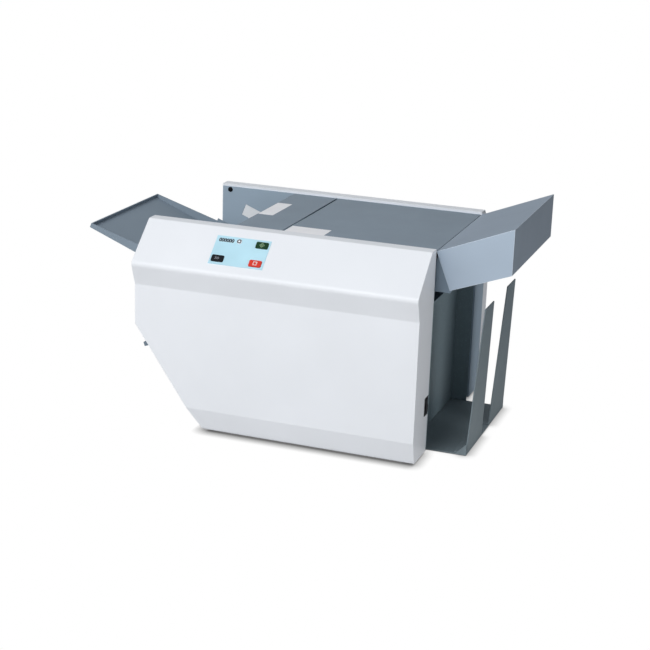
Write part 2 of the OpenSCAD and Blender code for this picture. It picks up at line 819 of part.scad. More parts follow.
module on_panel(at) { on_slope() translate([panel_x + at[0], -panel_t - at[1], 0]) children(); }

module centred(l, w, z0, z1) { translate([-l / 2, -w / 2, z0]) cube([l, w, z1 - z0]); }

module pad(l, w, z0, z1) {
    r = 2;
    translate([0, 0, z0]) linear_extrude(z1 - z0) polygon(rounded(
        [[-l, -w] / 2, [l, -w] / 2, [l, w] / 2, [-l, w] / 2], [r, r, r, r]));
}

module control_panel() {
    middle = [panel_l / 2, panel_w / 2];
    placed() color([0.72, 0.87, 0.94]) difference() {
        on_panel(middle) {
            centred(panel_l, panel_w, seat, panel_lip);
            centred(panel_l - 2 * panel_in - 2 * seat, panel_w - 2 * panel_in - 2 * seat,
                -panel_deep, panel_lip);
        }
        for (at = [start_at, stop_at, jog_at])
            on_panel(at) pad(button_l + 2 * slip, button_w + 2 * slip, -far / 10, far / 10);
        on_panel(reset_at) translate([0, 0, -far / 10]) cylinder(r = reset_r + slip, h = far / 5);
        on_panel(display_at) centred(display_l + 2 * seat, display_w + 2 * seat, -far / 10, far / 10);
    }
}

module counter_display() {
    placed() color(BLACK) on_panel(display_at)
        centred(display_l, display_w, -panel_deep - board_gap + seat, display_proud);
}

module control_board() {
    l = panel_l - 2 * board_in[0];
    w = panel_w - 2 * board_in[1];
    placed() color([0.1, 0.35, 0.2]) on_panel([panel_l / 2, panel_w / 2]) {
        centred(l, w, -panel_deep - board_gap - board_t, -panel_deep - board_gap);
        for (x = [-1, 1]) translate([x * (l / 2 - 2 * post_r), 0, -panel_deep - board_gap])
            cylinder(r = post_r, h = board_gap - seat);
    }
}

module push_button(at) {
    placed() on_panel(at) {
        pad(button_l, button_w, -panel_deep - slip, panel_lip + button_proud);
        pad(button_l + 2 * collar, button_w + 2 * collar, -panel_deep - slip - collar_t, -panel_deep - slip);
    }
}

module start_button() { color([0.1, 0.3, 0.15]) push_button(start_at); }
module stop_button() { color([0.9, 0.25, 0.2]) push_button(stop_at); }
module jog_button() { color(BLACK) push_button(jog_at); }

module reset_button() {
    placed() color([0.85, 0.87, 0.9]) on_panel(reset_at) {
        translate([0, 0, -panel_deep - slip])
            cylinder(r = reset_r, h = panel_deep + slip + panel_lip + button_proud);
        translate([0, 0, -panel_deep - slip - collar_t]) cylinder(r = reset_r + collar, h = collar_t);
    }
}

// power switch in the notch of the front cover's end

switch_y = -half - seat - switch_w / 2;
rocker_pin = 1.5;
rocker_x = -3.5;
rocker_a = 9;

module switch_housing() {
    placed() color(BLACK) difference() {
        box([-switch_l, switch_y - switch_w / 2, switch_z - switch_h / 2],
            [-switch_in, switch_y + switch_w / 2, switch_z + switch_h / 2]);
        box([-well, switch_y - rocker_w / 2 - slip, switch_z - rocker_h / 2 - 3 * slip],
            [cut, switch_y + rocker_w / 2 + slip, switch_z + rocker_h / 2 + 3 * slip]);
        rod([rocker_x, switch_z], rocker_pin + run, switch_y - rocker_w / 2 - stub - slip,
            switch_y + rocker_w / 2 + stub + slip);
    }
}

module power_rocker() {
    h = rocker_h / 2;
    x1 = rocker_half - h * tan(rocker_bevel);
    placed() color([0.12, 0.12, 0.13]) translate([rocker_x, switch_y, switch_z]) rotate([0, -rocker_a, 0]) {
        along_y(-rocker_w / 2, rocker_w / 2) polygon([[-rocker_half, -h * rocker_foot], [x1, -h],
            [rocker_half, 0], [x1, h], [-rocker_half, h * rocker_foot]]);
        rod([0, 0], rocker_pin, -rocker_w / 2 - stub, rocker_w / 2 + stub);
    }
}

module power_inlet() {
    y0 = half + face_out;
    l = inlet_l / 2;
    h = inlet_h / 2;
    w = inlet_wall;
    placed() color(BLACK) translate([inlet_at[0], y0, inlet_at[1]]) {
        difference() {
            union() {
                box([-l, -inlet_deep - sheet, -h], [l, seat, h]);
                box([-l - inlet_lip, seat, -h - inlet_lip], [l + inlet_lip, inlet_face, h + inlet_lip]);
            }
            box([w - l, -socket_deep - sheet, w - h], [l - w, cut + inlet_face, h - w]);
        }
        for (b = BLADES) translate([b[0] - blade[0] / 2, -socket_deep - sheet - seat, b[1] - blade[1] / 2])
            cube([blade[0], socket_deep - blade_tip, blade[1]]);
    }
}

// drive

module drive_motor() {
    placed() color([0.3, 0.32, 0.35]) difference() {
        union() {
            rod(pinion_c, motor_r, inner - motor_l, inner - motor_flange);
            translate([pinion_c[0], 0, pinion_c[1]])
                box([-motor_r, inner - motor_flange, -motor_r], [motor_r, inner, motor_r] + [1, 0, 1]);
            rod(pinion_c, motor_boss_r - seat, inner, half);
            rod(pinion_c, motor_cap[0], inner - motor_l - motor_cap[1], inner - motor_l);
        }
        rod(pinion_c, motor_shaft_r + run, inner - motor_bore, half + cut);
    }
}

module motor_pinion() {
    placed() color(STEEL) {
        gear(pinion_c, pinion_n, pinion_a, motor_shaft_r);
        rod(pinion_c, motor_shaft_r, inner - pinion_in, gear_y + gear_w + cut);
    }
}

module shaft_bearings() {
    placed() color(BRASS) both_sides() for (c = ROLLERS) difference() {
        union() {
            rod(c, bush_r, inner - bush_flange_t, half);
            rod(c, bush_flange_r, inner - bush_flange_t, inner);
        }
        rod(c, shaft_r + run, inner - bush_flange_t - cut, half + cut);
    }
}

module idler_studs() {
    placed() color(STEEL) for (c = IDLERS) {
        rod(c, stud_r, half, gear_y + gear_w + slip);
        rod(c, stud_r + stud_collar, half, gear_y - slip);
        rod(c, stud_r + stud_collar, gear_y + gear_w + slip, gear_y + gear_w + stud_cap);
    }
}

module hinge_pins() {
    placed() color(STEEL) {
        for (c = [main_pin, infeed_pin]) rod(c, pin_r, -half, half);
        rod(hood_pin, pin_r, hood_pin_in - inner, inner - hood_pin_in);
    }
}

head_r = 4.5;
head_h = 3;
// the screw in the rear plate's upper corner
plate_screw = [13.8, -5];

// button-head screws that hold the tie bars and the tray ears, on the outer faces of the frames
module frame_screws() {
    placed() color(BLACK) {
        both_sides() for (c = TIES) rod(c, head_r, half + seat, half + seat + head_h);
        rod([frame_x0, frame_h] + plate_screw, head_r, inner - head_h, inner);
    }
}

module driven_roller(c, n) { placed() roller(c, n, shaft_y); }
module roller_gear(c, n, a) { placed() color(STEEL) gear(c, n, a, shaft_r + seat); }
module idler(c, n, a) { placed() color([0.85, 0.83, 0.76]) gear(c, n, a, stud_r + run); }

module fold_roller_1() { color(RUBBER) driven_roller(fold_1, fold_n); }
module fold_roller_2() { color(RUBBER) driven_roller(fold_2, fold_n); }
module fold_roller_3() { color(RUBBER) driven_roller(fold_3, fold_n); }
module fold_roller_4() { color(RUBBER) driven_roller(fold_4, fold_n); }
module fold_gear_1() { roller_gear(fold_1, fold_n, fold_1a); }
module fold_gear_2() { roller_gear(fold_2, fold_n, fold_2a); }
module fold_gear_3() { roller_gear(fold_3, fold_n, fold_3a); }
module fold_gear_4() { roller_gear(fold_4, fold_n, fold_4a); }
module seal_roller_upper() { color(STEEL) driven_roller(seal_up, seal_n); }
module seal_roller_lower() { color(STEEL) driven_roller(seal_low, seal_n); }
module seal_gear_upper() { roller_gear(seal_up, seal_n, seal_up_a); }
module seal_gear_lower() { roller_gear(seal_low, seal_n, seal_low_a); }
module exit_roller_upper() { placed() color(RUBBER) roller(exit_up, exit_n, half + 2); }
module exit_roller_lower() { color(RUBBER) driven_roller(exit_low, exit_n); }
module exit_gear() { roller_gear(exit_low, exit_n, exit_a); }
module feed_roller() { color(RUBBER) driven_roller(feed_c, feed_n); }
module feed_gear() { roller_gear(feed_c, feed_n, feed_a); }
module main_idler() { idler(main_idler_c, main_idler_n, main_idler_a); }
module feed_idler() { idler(feed_idler_c, feed_idler_n, feed_idler_a); }
module exit_idler() { idler(exit_idler_c, exit_idler_n, exit_idler_a); }

// top covers and hood

module top_cover(x0, x1, pin) {
    difference() {
        union() {
            box([x0, -lid_w, lid_under], [x1, lid_w, lid_z]);
            both_sides() {
                box([x0 + side_gap, lid_w - lid_t, lid_under - lid_drop],
                    [x1 - pin_in - side_end, lid_w, lid_under]);
                rod(pin, knuckle_r, knuckle_y, knuckle_y + knuckle_w);
                box([pin[0] - knuckle_r, knuckle_y, pin[1]],
                    [pin[0] + knuckle_r, knuckle_y + knuckle_w, lid_under]);
            }
        }
        rod(pin, pin_r + run, -half, half);
    }
}

module infeed_cover() { placed() color(GREY) top_cover(infeed_x0, infeed_x1, infeed_pin); }
module main_cover() { placed() color(GREY) top_cover(main_x0, main_x1, main_pin); }

module hood() {
    inside = moved_in([hood_p0, hood_p3, hood_p2, hood_p1], [-far / 10, -far / 10, sheet, sheet]);
    placed() color(GREY) difference() {
        union() {
            difference() {
                along_y(-hood_w, hood_w) polygon([hood_p0, hood_p3, hood_p2, hood_p1]);
                along_y(-hood_w + sheet, hood_w - sheet) polygon(inside);
            }
            both_sides() for (y = hood_lugs) {
                rod(hood_pin, lug_r, y - lug_w / 2, y + lug_w / 2);
                along_y(y - lug_w / 2, y + lug_w / 2) polygon([hood_pin - [lug_r, 0], hood_pin + [lug_r, 0],
                    for (k = [1, 0]) hood_p0 + lug_root[k] * hood_u - sheet / 2 * hood_n]);
            }
        }
        both_sides() for (y = hood_lugs) rod(hood_pin, pin_r + run, y - lug_w, y + lug_w);
    }
}

// delivery tray

module stacker_base() {
    x0 = -bay_d + cut;
    placed() color(GREY) {
        box([x0, -stack_w / 2, stack_z], [stack_x, stack_w / 2, stack_top]);
        box([tongue_x, -tongue_w / 2, stack_z], [x0, tongue_w / 2, stack_top]);
        both_sides() along_y(stack_w / 2 - sheet, stack_w / 2)
            polygon([[stack_x - stack_rim, stack_top], [stack_x, stack_top], [stack_x, stack_top + stack_rim]]);
    }
}

module stacker_fingers() {
    x0 = stack_x - finger_foot;
    y0 = finger_gap / 2;
    y1 = min(y0 + finger_w0, stack_w / 2 - sheet - slip);
    mid = (y0 + y1) / 2;
    top = stack_top + finger_h;
    placed() color(GREY) both_sides() intersection() {
        // side view: the foot on the tray and the blade that leans out
        along_y(y0, y1) polygon([[x0, stack_top], [stack_x, stack_top], [stack_x + finger_lean, top],
            [stack_x + finger_lean - stack_t, top], [stack_x - stack_t, stack_top + stack_t],
            [x0, stack_top + stack_t]]);
        // front view: the taper
        along_x(x0 - cut, stack_x + finger_lean + cut) polygon([[y0, stack_top - cut],
            [y1, stack_top - cut], [y1, stack_top], [mid + finger_w1 / 2, top + cut],
            [mid - finger_w1 / 2, top + cut], [y0, stack_top]]);
    }
}

base_plate();
rubber_feet();
front_frame();
rear_frame();
tie_bars();
front_cover();
rear_cover();
exit_plate();
bay_liner();
feed_tray();
separator_bar();
separator_pad();
transfer_guide();
upper_fold_plate();
lower_fold_plate();
control_panel();
counter_display();
control_board();
switch_housing();
power_inlet();
drive_motor();
shaft_bearings();
idler_studs();
hinge_pins();
frame_screws();
infeed_cover();
main_cover();
hood();
stacker_base();
stacker_fingers();
front_guide();
rear_guide();
upper_stop();
lower_stop();
start_button();
stop_button();
jog_button();
reset_button();
power_rocker();
feed_roller();
feed_gear();
fold_roller_1();
fold_roller_2();
fold_roller_3();
fold_roller_4();
fold_gear_1();
fold_gear_2();
fold_gear_3();
fold_gear_4();
seal_roller_upper();
seal_roller_lower();
seal_gear_upper();
seal_gear_lower();
exit_roller_upper();
exit_roller_lower();
exit_gear();
main_idler();
feed_idler();
exit_idler();
motor_pinion();
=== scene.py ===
# %% [markdown]
# # A desktop pressure sealer
# The machine folds a printed form, presses its glued edges together and drops the sealed mailer into
# a tray. Its solids are already modelled at their real size. This lesson dresses them: it sets up the
# camera and the light, gives every piece its finish, and adds the small details that repeat.

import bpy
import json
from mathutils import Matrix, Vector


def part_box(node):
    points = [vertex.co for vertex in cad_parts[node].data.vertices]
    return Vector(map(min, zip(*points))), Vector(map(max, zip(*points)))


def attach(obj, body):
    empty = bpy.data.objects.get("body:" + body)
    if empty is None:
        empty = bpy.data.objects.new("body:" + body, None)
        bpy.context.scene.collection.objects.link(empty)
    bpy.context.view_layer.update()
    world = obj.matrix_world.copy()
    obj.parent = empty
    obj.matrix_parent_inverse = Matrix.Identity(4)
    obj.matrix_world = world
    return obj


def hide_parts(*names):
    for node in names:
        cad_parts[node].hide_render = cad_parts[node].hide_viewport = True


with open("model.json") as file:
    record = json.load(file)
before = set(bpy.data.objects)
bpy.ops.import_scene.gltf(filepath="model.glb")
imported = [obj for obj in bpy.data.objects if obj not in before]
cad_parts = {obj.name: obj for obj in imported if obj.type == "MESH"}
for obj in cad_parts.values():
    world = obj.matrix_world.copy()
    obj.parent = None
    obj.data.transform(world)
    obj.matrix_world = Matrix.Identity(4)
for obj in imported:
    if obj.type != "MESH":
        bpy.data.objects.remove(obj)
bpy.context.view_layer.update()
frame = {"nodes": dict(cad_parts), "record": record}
nodes = frame["nodes"]

# %% [markdown]
# ## Tools
# `bpy` is Blender's own module and `bmesh` edits meshes. Sizes are in metres, so a helper for
# millimetres keeps the numbers as a maker would say them. Colours are picked as screen values, and
# Blender's shaders want linear light, so a second helper converts them. The last three wire nodes.

# %% Tools
import json
import math

import bmesh
import bpy
from mathutils import Matrix, Vector

MM = 0.001
JOIN_WITHIN = 0.01 * MM


def screen(red, green, blue):
    """A screen colour, 0 to 255, as linear light with full alpha."""
    def linear(value):
        share = value / 255
        return share / 12.92 if share <= 0.04045 else ((share + 0.055) / 1.055) ** 2.4
    return (linear(red), linear(green), linear(blue), 1.0)


def plug(tree, socket, value):
    """Links the value if it is a socket, several of them if it is a list, and sets it otherwise."""
    if isinstance(value, list):
        for one in value:
            tree.links.new(one, socket)
    elif isinstance(value, bpy.types.NodeSocket):
        tree.links.new(value, socket)
    else:
        socket.default_value = value


def calc(tree, operation, first, second):
    """One sum, as a node of a shader or a geometry tree."""
    node = tree.nodes.new("ShaderNodeMath")
    node.operation = operation
    plug(tree, node.inputs[0], first)
    plug(tree, node.inputs[1], second)
    return node.outputs[0]


def remap(tree, value, low, high, to_low=0.0, to_high=1.0):
    """Carries a value over from one span to another, held at the ends."""
    node = tree.nodes.new("ShaderNodeMapRange")
    given = {"Value": value, "From Min": low, "From Max": high, "To Min": to_low, "To Max": to_high}
    for label, part in given.items():
        plug(tree, node.inputs[label], part)
    return node.outputs["Result"]


# %% [markdown]
# ## Camera
# A photograph is matched by four things: where the lens stands, where it points, how far it is rolled
# and how long it is. Aiming with a Track To constraint would lose the roll, so the camera's three axes
# are written straight into its matrix. The focal length is first given in pixels of a square picture.

# %% Camera
PICTURE_PX = 650
FOCAL_PX = 1559.4
SENSOR_MM = 36.0
EYE = Vector((0.8287, -2.2992, 0.9056))
AZIMUTH, ELEVATION, ROLL = (math.radians(angle) for angle in (19.48, 17.44, 1.99))


def camera_axes(azimuth, elevation, roll):
    """Right, up and back of a camera that looks down from an azimuth and elevation."""
    back = Vector((math.sin(azimuth) * math.cos(elevation), -math.cos(azimuth) * math.cos(elevation),
                   math.sin(elevation)))
    right = Vector((math.cos(azimuth), math.sin(azimuth), 0))
    up = back.cross(right)
    return (right * math.cos(roll) + up * math.sin(roll),
            up * math.cos(roll) - right * math.sin(roll), back)


lens = bpy.data.cameras.new("camera")
lens.sensor_width = SENSOR_MM
lens.lens = FOCAL_PX / PICTURE_PX * SENSOR_MM
camera = bpy.data.objects.new("camera", lens)
aim = Matrix(camera_axes(AZIMUTH, ELEVATION, ROLL)).transposed().to_4x4()
camera.matrix_world = Matrix.Translation(EYE) @ aim
bpy.context.scene.collection.objects.link(camera)
bpy.context.scene.camera = camera
print("lens", round(lens.lens, 1), "mm, from", round(EYE.length, 2), "m away")

# %% [markdown]
# ## Floor and background
# A product shot stands on white paper that runs out of sight. Raising the lamps until the paper clips
# would burn out the white covers too. Instead a Light Path node lets the camera find the floor white at
# strength 1, while bounced light finds a dimmer paper, so that little is thrown up from below. A mirror
# finds the paper painted white in front and, behind, the dimmer lit paper: a painted shadow of the machine.
# An Ambient Occlusion node darkens the white where something stands close above it, which is what a soft
# contact shadow is. From a low angle the camera would look past the floor's far edge, so a low wall of
# the same paper stands all round, a little apart.

# %% Floor
FLOOR_SIZE = 60.0
WALL_SIZE = 64.0
WALL_FOOT, WALL_TOP = -1.0, 4.0
SHADOW_REACH = 0.018
PAPER = (0.5, 0.5, 0.5, 1)
# from front to back, the mirrored paper fades from painted white into a painted shadow between these two
# places
MIRROR_PAINTED_WHITE, MIRROR_PAINTED_SHADOW = -0.2, 0.6


def seen_ray(tree):
    """1 for the camera and through glass, 1 fading to 0 towards the back off a mirror as a painted shadow,
    else 0.
    """
    path = tree.nodes.new("ShaderNodeLightPath").outputs
    place = tree.nodes.new("ShaderNodeNewGeometry")
    parts = tree.nodes.new("ShaderNodeSeparateXYZ")
    tree.links.new(place.outputs["Position"], parts.inputs["Vector"])
    # off a mirror: painted white in front, fading to the dim lit paper behind as a painted shadow
    front = remap(tree, parts.outputs["Y"], MIRROR_PAINTED_SHADOW, MIRROR_PAINTED_WHITE)
    mirrored = calc(tree, "MULTIPLY", path["Is Glossy Ray"], front)
    direct = calc(tree, "MAXIMUM", path["Is Camera Ray"], path["Is Transmission Ray"])
    return calc(tree, "MAXIMUM", direct, mirrored)


def paper_floor():
    """White paper, darker where something stands on it, with a painted shadow behind the machine in a
    mirror.
    """
    material = bpy.data.materials.new("paper_floor")
    material.use_nodes = True
    tree = material.node_tree
    tree.nodes.clear()
    contact = tree.nodes.new("ShaderNodeAmbientOcclusion")
    contact.inputs["Distance"].default_value = SHADOW_REACH
    white = tree.nodes.new("ShaderNodeEmission")
    tree.links.new(contact.outputs["Color"], white.inputs["Color"])
    lit = tree.nodes.new("ShaderNodeBsdfDiffuse")
    lit.inputs["Color"].default_value = PAPER
    mix = tree.nodes.new("ShaderNodeMixShader")
    tree.links.new(seen_ray(tree), mix.inputs["Fac"])
    tree.links.new(lit.outputs[0], mix.inputs[1])
    tree.links.new(white.outputs[0], mix.inputs[2])
    out = tree.nodes.new("ShaderNodeOutputMaterial")
    tree.links.new(mix.outputs[0], out.inputs["Surface"])
    return material


def square(size, height):
    """Corners of a level square round the origin."""
    return [(x * size / 2, y * size / 2, height) for x, y in ((-1, -1), (1, -1), (1, 1), (-1, 1))]


# four corners each of the floor, the wall's foot and the wall's top
paper_corners = square(FLOOR_SIZE, 0) + square(WALL_SIZE, WALL_FOOT) + square(WALL_SIZE, WALL_TOP)
wall_faces = [(4 + side, 8 + side, 8 + (side + 1) % 4, 4 + (side + 1) % 4) for side in range(4)]
floor_mesh = bpy.data.meshes.new("floor")
floor_mesh.from_pydata(paper_corners, [], [(0, 1, 2, 3)] + wall_faces)
floor_mesh.materials.append(paper_floor())
floor = bpy.data.objects.new("floor", floor_mesh)
bpy.context.scene.collection.objects.link(floor)
print("floor", FLOOR_SIZE, "m wide, wall", WALL_TOP, "m high")

# %% [markdown]
# ## Light
# A studio lights sheet metal with large soft boxes, because a small lamp would show as a hard spot on
# the paint. Here one strong box stands in front, a little to the left and at the height of a head, so
# the sloped front is the brightest face. The end walls are left to a weak low box on the right, and a
# third, behind the machine, serves views of its back. Only the strong box may show as a gleam in the
# paint. The world fills the rest, even and slightly cool, and is brighter in a mirror.

# %% Light
WORLD_FILL, WORLD_GLEAM = 0.36, 0.62
WORLD_TINT = (0.94, 0.97, 1.0, 1.0)
AIM = Vector((-0.05, 0, 0.2))
KEY_BOX = "front_box"
# name: place, width, power in watts
SOFT_BOXES = {
    "front_box": (Vector((-0.5, -2.6, 1.9)), 1.6, 60),
    "right_box": (Vector((2.6, -0.9, 0.4)), 1.2, 13),
    "rear_box": (Vector((-1.0, 2.8, 0.4)), 1.6, 26),
}

world = bpy.data.worlds.new("studio")
world.use_nodes = True
tree = world.node_tree
sky = tree.nodes["Background"]
sky.inputs["Color"].default_value = WORLD_TINT
mirrored = tree.nodes.new("ShaderNodeLightPath").outputs["Is Glossy Ray"]
plug(tree, sky.inputs["Strength"], remap(tree, mirrored, 0, 1, WORLD_FILL, WORLD_GLEAM))
bpy.context.scene.world = world
bpy.context.scene.view_settings.view_transform = "Standard"
for name, (place, width, power) in SOFT_BOXES.items():
    lamp = bpy.data.lights.new(name, "AREA")
    lamp.shape = "DISK"
    lamp.size = width
    lamp.energy = power
    holder = bpy.data.objects.new(name, lamp)
    holder.location = place
    holder.visible_glossy = name == KEY_BOX
    holder.rotation_euler = (place - AIM).to_track_quat("Z", "Y").to_euler()
    bpy.context.scene.collection.objects.link(holder)
print(len(SOFT_BOXES), "soft boxes")

# %% [markdown]
# ## Shared shader parts
# Nearly every finish here is one Principled shader with three things on top: a colour that drifts a
# little, a roughness that isn't quite even, and a very fine relief. Each helper adds one of them. All
# read Object coordinates: the pieces sit at the origin, so a pattern keeps its real size and place.

# %% Shader helpers
def new_finish(name):
    """A material and its Principled shader."""
    material = bpy.data.materials.new(name)
    material.use_nodes = True
    return material, material.node_tree, material.node_tree.nodes["Principled BSDF"]


def noise(tree, per_metre, detail=2.0, stretch=(1, 1, 1)):
    """Noise with a number of lumps to the metre, stretched along the axes if asked."""
    place = tree.nodes.new("ShaderNodeTexCoord")
    mapping = tree.nodes.new("ShaderNodeMapping")
    mapping.inputs["Scale"].default_value = stretch
    tree.links.new(place.outputs["Object"], mapping.inputs["Vector"])
    lumps = tree.nodes.new("ShaderNodeTexNoise")
    lumps.inputs["Scale"].default_value = per_metre
    lumps.inputs["Detail"].default_value = detail
    tree.links.new(mapping.outputs["Vector"], lumps.inputs["Vector"])
    return lumps.outputs["Fac"]


def tint(tree, shader, factor, dark, light, low=0.3, high=0.7):
    """Base colour that runs from dark to light with the factor."""
    ramp = tree.nodes.new("ShaderNodeValToRGB")
    ramp.color_ramp.elements[0].position, ramp.color_ramp.elements[0].color = low, dark
    ramp.color_ramp.elements[1].position, ramp.color_ramp.elements[1].color = high, light
    tree.links.new(factor, ramp.inputs["Fac"])
    tree.links.new(ramp.outputs["Color"], shader.inputs["Base Color"])


def gloss(tree, shader, factor, smooth, rough):
    """Roughness between two values."""
    plug(tree, shader.inputs["Roughness"], remap(tree, factor, 0, 1, smooth, rough))


def relief(tree, shader, factor, depth):
    """Bump of a real depth in metres."""
    bump = tree.nodes.new("ShaderNodeBump")
    bump.inputs["Strength"].default_value = 1.0
    bump.inputs["Distance"].default_value = depth
    tree.links.new(factor, bump.inputs["Height"])
    tree.links.new(bump.outputs["Normal"], shader.inputs["Normal"])


def shade(colour, share):
    """The colour made darker or lighter by a share."""
    return tuple(min(1.0, part * share) for part in colour[:3]) + (1.0,)


print("shader helpers ready")

# %% [markdown]
# ## Painted sheet
# Seven paints cover the sheet: a cool white on the big side covers, a metal flake on the hood, a matt blue
# grey on the side plates, a deeper grey on the lids and the feed tray, a dull iron grey on the delivery
# tray, a flecked charcoal in the delivery bay and a slate on the lower fold plate and behind the hood,
# where it is painted shade for the shadow that the front cover casts there. All are baked powder coats.
# Up close such a coat has an orange-peel skin of lumps a few tenths of a millimetre wide, which softens
# every highlight. The greys get a low Specular, because a matt coat that is seen along its face would
# otherwise mirror the white floor. Flake does mirror, softly: the hood is bright where it mirrors the paper
# painted white in front and dark on its end, which mirrors the painted shadow behind. On its edges a pale
# colour is mixed in, a painted highlight that is partly rubbed wear; a Bevel node finds the edges by how
# far it turns the surface.

# %% Painted sheet
WHITE_PAINT = screen(236, 239, 244)
HOOD_PAINT = screen(165, 179, 194)
GREY_PAINT = screen(160, 177, 192)
LID_PAINT = screen(136, 150, 163)
IRON_PAINT = screen(120, 132, 138)
CHARCOAL = screen(124, 142, 150)
# a slate that is also painted shade: on the exit plate it stands for the shadow the front cover casts there
SLATE_AND_PAINTED_SHADE = screen(112, 128, 142)
DRIFT_PER_METRE, SMEARS_PER_METRE, PEEL_PER_METRE = 9, 40, 1400
FLECKS_PER_METRE = 340
FLECK_LIGHT = 1.7
FLECK_CORE, FLECK_RIM = 0.1, 0.22
# pale colour for the hood's edges: a painted highlight that is partly rubbed wear
EDGE_HIGHLIGHT_AND_WEAR_PALE = screen(214, 224, 232)
EDGE_HIGHLIGHT_AND_WEAR_REACH = 1.2 * MM
# how far a normal still agrees with the flat face where the painted edge highlight and wear begins, and
# where it is full
EDGE_HIGHLIGHT_AND_WEAR_BEGINS, EDGE_HIGHLIGHT_AND_WEAR_FULL = 0.995, 0.9


def powder_coat(name, colour, drift, smooth, rough, skin, sheen=0.5, flake=0.0):
    """Baked powder coat: slow colour drift, orange-peel skin, some sheen, metal flake or none."""
    material, tree, shader = new_finish(name)
    shader.inputs["Specular IOR Level"].default_value = sheen
    shader.inputs["Metallic"].default_value = flake
    tint(tree, shader, noise(tree, DRIFT_PER_METRE), shade(colour, 1 - drift), shade(colour, 1 + drift))
    gloss(tree, shader, noise(tree, SMEARS_PER_METRE, detail=4), smooth, rough)
    relief(tree, shader, noise(tree, PEEL_PER_METRE, detail=3), skin)
    return material


def paint_edge_highlight_and_wear(material, pale, reach):
    """Mixes a paler colour into the coat within a reach of every edge: a painted highlight, partly rubbed
    wear.
    """
    tree = material.node_tree
    shader = tree.nodes["Principled BSDF"]
    turned = tree.nodes.new("ShaderNodeBevel")
    turned.inputs["Radius"].default_value = reach
    flat = tree.nodes.new("ShaderNodeNewGeometry")
    alike = tree.nodes.new("ShaderNodeVectorMath")
    alike.operation = "DOT_PRODUCT"
    tree.links.new(turned.outputs["Normal"], alike.inputs[0])
    tree.links.new(flat.outputs["Normal"], alike.inputs[1])
    edge = remap(tree, alike.outputs["Value"], EDGE_HIGHLIGHT_AND_WEAR_BEGINS, EDGE_HIGHLIGHT_AND_WEAR_FULL)
    mix = tree.nodes.new("ShaderNodeMix")
    mix.data_type = "RGBA"
    mix.inputs["B"].default_value = pale
    tree.links.new(edge, mix.inputs["Factor"])
    tree.links.new(shader.inputs["Base Color"].links[0].from_socket, mix.inputs["A"])
    tree.links.new(mix.outputs["Result"], shader.inputs["Base Color"])


def flecked_coat(name, colour):
    """Dark coat with pale flecks a few millimetres apart."""
    material, tree, shader = new_finish(name)
    place = tree.nodes.new("ShaderNodeTexCoord")
    cells = tree.nodes.new("ShaderNodeTexVoronoi")
    cells.inputs["Scale"].default_value = FLECKS_PER_METRE
    tree.links.new(place.outputs["Object"], cells.inputs["Vector"])
    tint(tree, shader, cells.outputs["Distance"], shade(colour, FLECK_LIGHT), colour, FLECK_CORE, FLECK_RIM)
    gloss(tree, shader, noise(tree, SMEARS_PER_METRE, detail=4), smooth=0.5, rough=0.62)
    relief(tree, shader, noise(tree, PEEL_PER_METRE, detail=3), depth=0.05 * MM)
    return material


white_paint = powder_coat("white_paint", WHITE_PAINT, drift=0.015, smooth=0.42, rough=0.52, skin=0.02 * MM)
hood_paint = powder_coat("hood_paint", HOOD_PAINT, drift=0.03, smooth=0.42, rough=0.5, skin=0.02 * MM,
                         sheen=0.03, flake=1.0)
# the hood's edges get a painted highlight that is partly rubbed wear
paint_edge_highlight_and_wear(hood_paint, EDGE_HIGHLIGHT_AND_WEAR_PALE, EDGE_HIGHLIGHT_AND_WEAR_REACH)
grey_paint = powder_coat("grey_paint", GREY_PAINT, drift=0.035, smooth=0.46, rough=0.56, skin=0.02 * MM,
                         sheen=0.03)
lid_paint = powder_coat("lid_paint", LID_PAINT, drift=0.04, smooth=0.46, rough=0.56, skin=0.03 * MM,
                        sheen=0.12)
iron_paint = powder_coat("iron_paint", IRON_PAINT, drift=0.04, smooth=0.46, rough=0.56, skin=0.03 * MM,
                         sheen=0.06)
dark_paint = flecked_coat("dark_paint", CHARCOAL)
slate_and_painted_shade = powder_coat("slate_and_painted_shade", SLATE_AND_PAINTED_SHADE, drift=0.04, smooth=0.44, rough=0.54, skin=0.02 * MM)
paints = (white_paint, hood_paint, grey_paint, lid_paint, iron_paint, dark_paint, slate_and_painted_shade)
print("paints:", [paint.name for paint in paints])

# %% [markdown]
# ## Bare metals
# Shafts, guides and the sealing rollers are ground steel: fine lines run round a turned part, which a
# noise squeezed along one axis imitates. Gears are milled, so their lines are coarser. The bushes are
# sintered bronze, dotted with tiny oil pores. Small screws are blackened.

# %% Bare metals
STEEL = screen(196, 198, 202)
GEAR_STEEL = screen(176, 178, 182)
BRONZE = screen(176, 142, 84)
BLACK_OXIDE = screen(34, 36, 40)
GRIND_PER_METRE, PORES_PER_METRE = 1600, 3500


def ground_metal(name, colour, stretch, smooth, rough):
    """Metal with grinding lines, drawn out along the axes with a small stretch."""
    material, tree, shader = new_finish(name)
    shader.inputs["Metallic"].default_value = 1.0
    lines = noise(tree, GRIND_PER_METRE, detail=3, stretch=stretch)
    tint(tree, shader, lines, shade(colour, 0.95), shade(colour, 1.03))
    gloss(tree, shader, lines, smooth, rough)
    relief(tree, shader, lines, depth=0.002 * MM)
    return material


def sintered_bronze():
    """Pressed bronze powder with dark oil pores."""
    material, tree, shader = new_finish("bronze")
    shader.inputs["Metallic"].default_value = 1.0
    pores = noise(tree, PORES_PER_METRE)
    tint(tree, shader, pores, shade(BRONZE, 0.45), BRONZE, low=0.36, high=0.46)
    gloss(tree, shader, pores, smooth=0.5, rough=0.32)
    relief(tree, shader, pores, depth=0.02 * MM)
    return material


